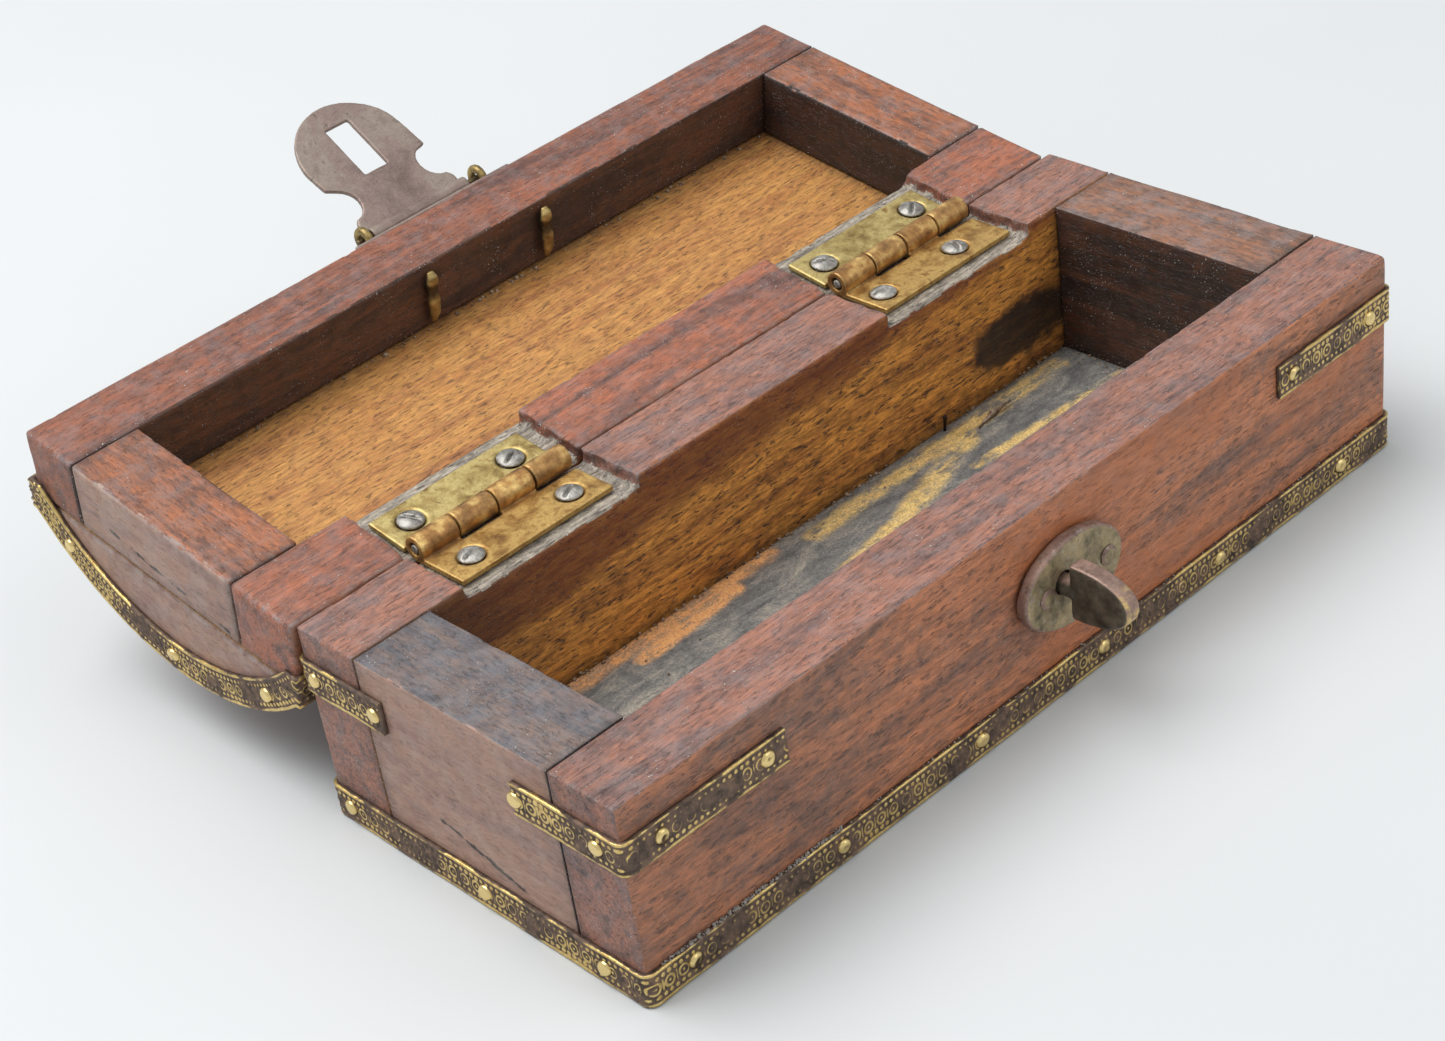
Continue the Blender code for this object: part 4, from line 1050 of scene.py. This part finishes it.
def worn_metal(node, body, material, rounds=3, dents=0.05):
    """A CAD node with its edges softened and its surfaces a little uneven."""
    obj = node_object("worn_" + node, node, PLACES[body])
    remesh(obj, METAL_GRAIN)
    mesh = obj.data
    points, normals = vertex_array(mesh), vertex_array(mesh, "normal")
    soft = smoothed(mesh, points, rounds)
    wide = smoothed(mesh, soft, 6)
    edge = np.clip(np.einsum("ij,ij->i", points - wide, normals) / (0.9 * METAL_GRAIN), -1, 1)
    seed = sum(map(ord, node)) % 97
    lumps = dents * (noise(points, 2.2, seed) - 0.5) + 0.4 * dents * (noise(points, 0.8, seed + 1) - 0.5)
    move_vertices(mesh, soft + normals * lumps[:, None])
    set_attribute(mesh, "edge", edge)
    return finish_piece(obj, body, [node], (material,))


def metalwork(metals):
    for side in ("left", "right"):
        worn_metal(f"hinge_{side}_pin", "base", metals["steel"])
        for body in ("base", "lid"):
            worn_metal(f"hinge_{side}_{body}_leaf", body, metals[body + "_leaf"])
            for i in (1, 2):
                worn_metal(f"hinge_{side}_{body}_screw_{i}", body, metals["steel"])
        worn_metal(f"hasp_split_pin_{side}", "lid", metals["wire"])
        worn_metal(f"knob_rivet_{side}", "base", metals["plate"])
    plate = worn_metal("hasp_plate", "hasp", metals["hasp"], rounds=2, dents=0.1)
    plate.data.transform(plate.matrix_world)
    plate.matrix_world = Matrix.Identity(4)
    worn_metal("hasp_back_plate", "lid", metals["hasp"])
    worn_metal("hasp_pin", "lid", metals["pin"])
    worn_metal("knob_plate", "base", metals["plate"], dents=0.12)
    worn_metal("knob_washer", "base", metals["plate"])
    worn_metal("turn_knob", "turn_button", metals["fin"], dents=0.12)


# Dirt and debris.


def crumbs(name, spots, body, material, seed):
    """Irregular grains, each a squashed little ball. spots hold (point, size)."""
    shape = bmesh.new()
    for i, (point, size) in enumerate(spots):
        made = bmesh.ops.create_icosphere(shape, subdivisions=1, radius=size)["verts"]
        points = np.array([v.co for v in made])
        lumps = 0.7 + 0.6 * noise(points + 31.7 * i, 0.8 * size, seed)
        for vertex, lump in zip(made, lumps):
            vertex.co = Vector(point) + vertex.co * lump
    mesh = bpy.data.meshes.new(name)
    shape.to_mesh(mesh)
    shape.free()
    return finish_piece(new_object(name, mesh), body, [], (material,))


def scattered(count, low, high, sizes, seed):
    """Places in a box, mostly small ones, as (point, size)."""
    cells = np.arange(count * 4).reshape(count, 4)
    columns = [hashed(np.outer(cells[:, k], (1, 2, 3)), seed + k) for k in range(4)]
    chance = np.stack(columns, 1)
    points = np.array(low) + chance[:, :3] * (np.array(high) - np.array(low))
    return [(tuple(p), sizes[0] + (sizes[1] - sizes[0]) * c) for p, c in zip(points, chance[:, 3] ** 2)]


def debris():
    pale = crumb_material("pale_dust", stops((120, 112, 106), (168, 160, 152)))
    brown = crumb_material("wood_crumbs", stops((70, 54, 42), (140, 114, 90), (176, 162, 144)))
    low, high = local_box("base_floor")
    top = high[2]
    front = local_box("base_front_wall")[0][1]
    left, right = low[0] + 1, high[0] - 1
    near, far = low[1] + 0.2, high[1]
    spots = scattered(160, (left, far - 0.9, top), (right, far, top + 0.1), (0.1, 0.34), 41)
    spots += scattered(90, (left, near, top), (right, far, top + 0.05), (0.08, 0.22), 42)
    spots += scattered(90, (high[0] - 3, near, top), (high[0], far, top + 0.1), (0.08, 0.26), 50)
    crumbs("floor_crumbs", spots, "base", brown, 43)
    foot = local_box("base_foot_strip_front")[1][2]
    line = scattered(420, (-68, front - 0.5, foot - 0.15), (-38, front - 0.1, foot + 0.3), (0.09, 0.26), 44)
    line += scattered(160, (-38, front - 0.45, foot - 0.15), (66, front - 0.1, foot + 0.1), (0.08, 0.2), 45)
    crumbs("foot_dust", line, "base", pale, 46)
    low, high = local_box("lid_dome", LID)
    left, far, face = low[0] + 12, high[1] - 11, high[2]
    rim = scattered(60, (left, far - 0.2, face), (high[0] - 12, far + 0.4, face + 0.15), (0.12, 0.4), 47)
    rim += scattered(20, (left - 0.8, low[1] + 12.2, face), (left + 0.2, far, face + 0.15), (0.12, 0.35), 48)
    crumbs("lid_crumbs", rim, "lid", brown, 49)
    nail = turned([(0, 2.6), (0.28, 2.5), (0.34, 2.2), (0.25, 1.8), (0.2, -1.0), (0, -1.0)], 10)
    back = local_box("base_floor")[1][1]
    nail.transform(Matrix.Translation((31.0, back - 0.9, top)) @ Matrix.Rotation(0.12, 4, "X"))
    dark = metal("iron_nail", stops((40, 34, 30), (72, 60, 50)), srgb(30, 26, 22), 8)
    set_attribute(nail, "edge", np.zeros(len(nail.vertices)))
    finish_piece(new_object("floor_nail", nail), "base", [], (dark,))
    sections = ((34.0, 4.6, 0.12, 0.25), (37.5, 4.0, 0.34, 0.5), (41.0, 4.3, 0.08, 0.9))
    square = ((-1, -1), (1, -1), (1, 1), (-1, 1))
    shape = bmesh.new()
    rings = []
    for x, off_wall, half, lift in sections:
        y, z = back - off_wall, top + lift
        rings.append([shape.verts.new((x, y + dy * half, z + dz * half)) for dy, dz in square])
    for first, second in zip(rings, rings[1:]):
        for k in range(4):
            shape.faces.new((first[k], first[(k + 1) % 4], second[(k + 1) % 4], second[k]))
    shape.faces.new(rings[0])
    shape.faces.new(rings[-1])
    bmesh.ops.subdivide_edges(shape, edges=shape.edges, cuts=2, use_grid_fill=True, fractal=0.3, seed=3)
    bmesh.ops.recalc_face_normals(shape, faces=shape.faces)
    mesh = bpy.data.meshes.new("floor_splinter")
    shape.to_mesh(mesh)
    shape.free()
    finish_piece(new_object("floor_splinter", mesh), "base", [], (brown,))


# Studio.


LAMPS = (  # (name, place in metres, size, power)
    ("overhead", (-0.25, 0.3, 0.85), 0.7, 8.5),
    ("side", (0.3, -0.7, 0.7), 0.7, 2.0),
)


def studio():
    scene = bpy.context.scene
    bpy.ops.mesh.primitive_plane_add(size=4.0)
    floor = bpy.context.object
    floor.name = "table"
    paint = Paint("table_top", 0.75, 0.0, 0.2)
    shade = paint.level(paint.noise(0.012, detail=2.0), 0.3, 0.7, 0.985, 1.0)
    floor.data.materials.append(paint.done(paint.mix(1.0, (0.60, 0.615, 0.62), shade, "MULTIPLY")))
    world = bpy.data.worlds.new("studio")
    world.use_nodes = True
    world.node_tree.nodes["Background"].inputs["Color"].default_value = (0.95, 0.98, 1.0, 1.0)
    world.node_tree.nodes["Background"].inputs["Strength"].default_value = 0.62
    scene.world = world
    for name, at, size, power in LAMPS:
        lamp = bpy.data.lights.new(name, "AREA")
        lamp.size = size
        lamp.energy = power
        light = bpy.data.objects.new(name, lamp)
        light.location = at
        light.rotation_euler = (-Vector(at)).to_track_quat("-Z", "Y").to_euler()
        scene.collection.objects.link(light)
    scene.view_settings.view_transform = "Standard"


def camera():
    heading, dip = math.radians(CAMERA_AZIMUTH), math.radians(CAMERA_ELEVATION)
    back = Vector((math.sin(heading) * math.cos(dip), -math.cos(heading) * math.cos(dip), math.sin(dip)))
    level = Vector((0, 0, 1)).cross(back).normalized()
    upright = back.cross(level)
    roll = math.radians(CAMERA_ROLL)
    right = math.cos(roll) * level + math.sin(roll) * upright
    up = back.cross(right)
    data = bpy.data.cameras.new("camera")
    data.lens = CAMERA_LENS
    data.sensor_width = 36.0
    data.shift_x, data.shift_y = CAMERA_SHIFT
    data.clip_start = 0.01
    obj = bpy.data.objects.new("camera", data)
    turn = Matrix((right, up, back)).transposed().to_4x4()
    obj.matrix_world = Matrix.Translation((CAMERA_TARGET + CAMERA_DISTANCE * back) * MM) @ turn
    bpy.context.scene.collection.objects.link(obj)
    bpy.context.scene.camera = obj


camera()
studio()
boards(wood_materials())
strip_brass = embossed_brass()
base_strips(strip_brass)
lid_strips(strip_brass)
all_nails(nail_brass())
metalwork(metal_materials())
debris()
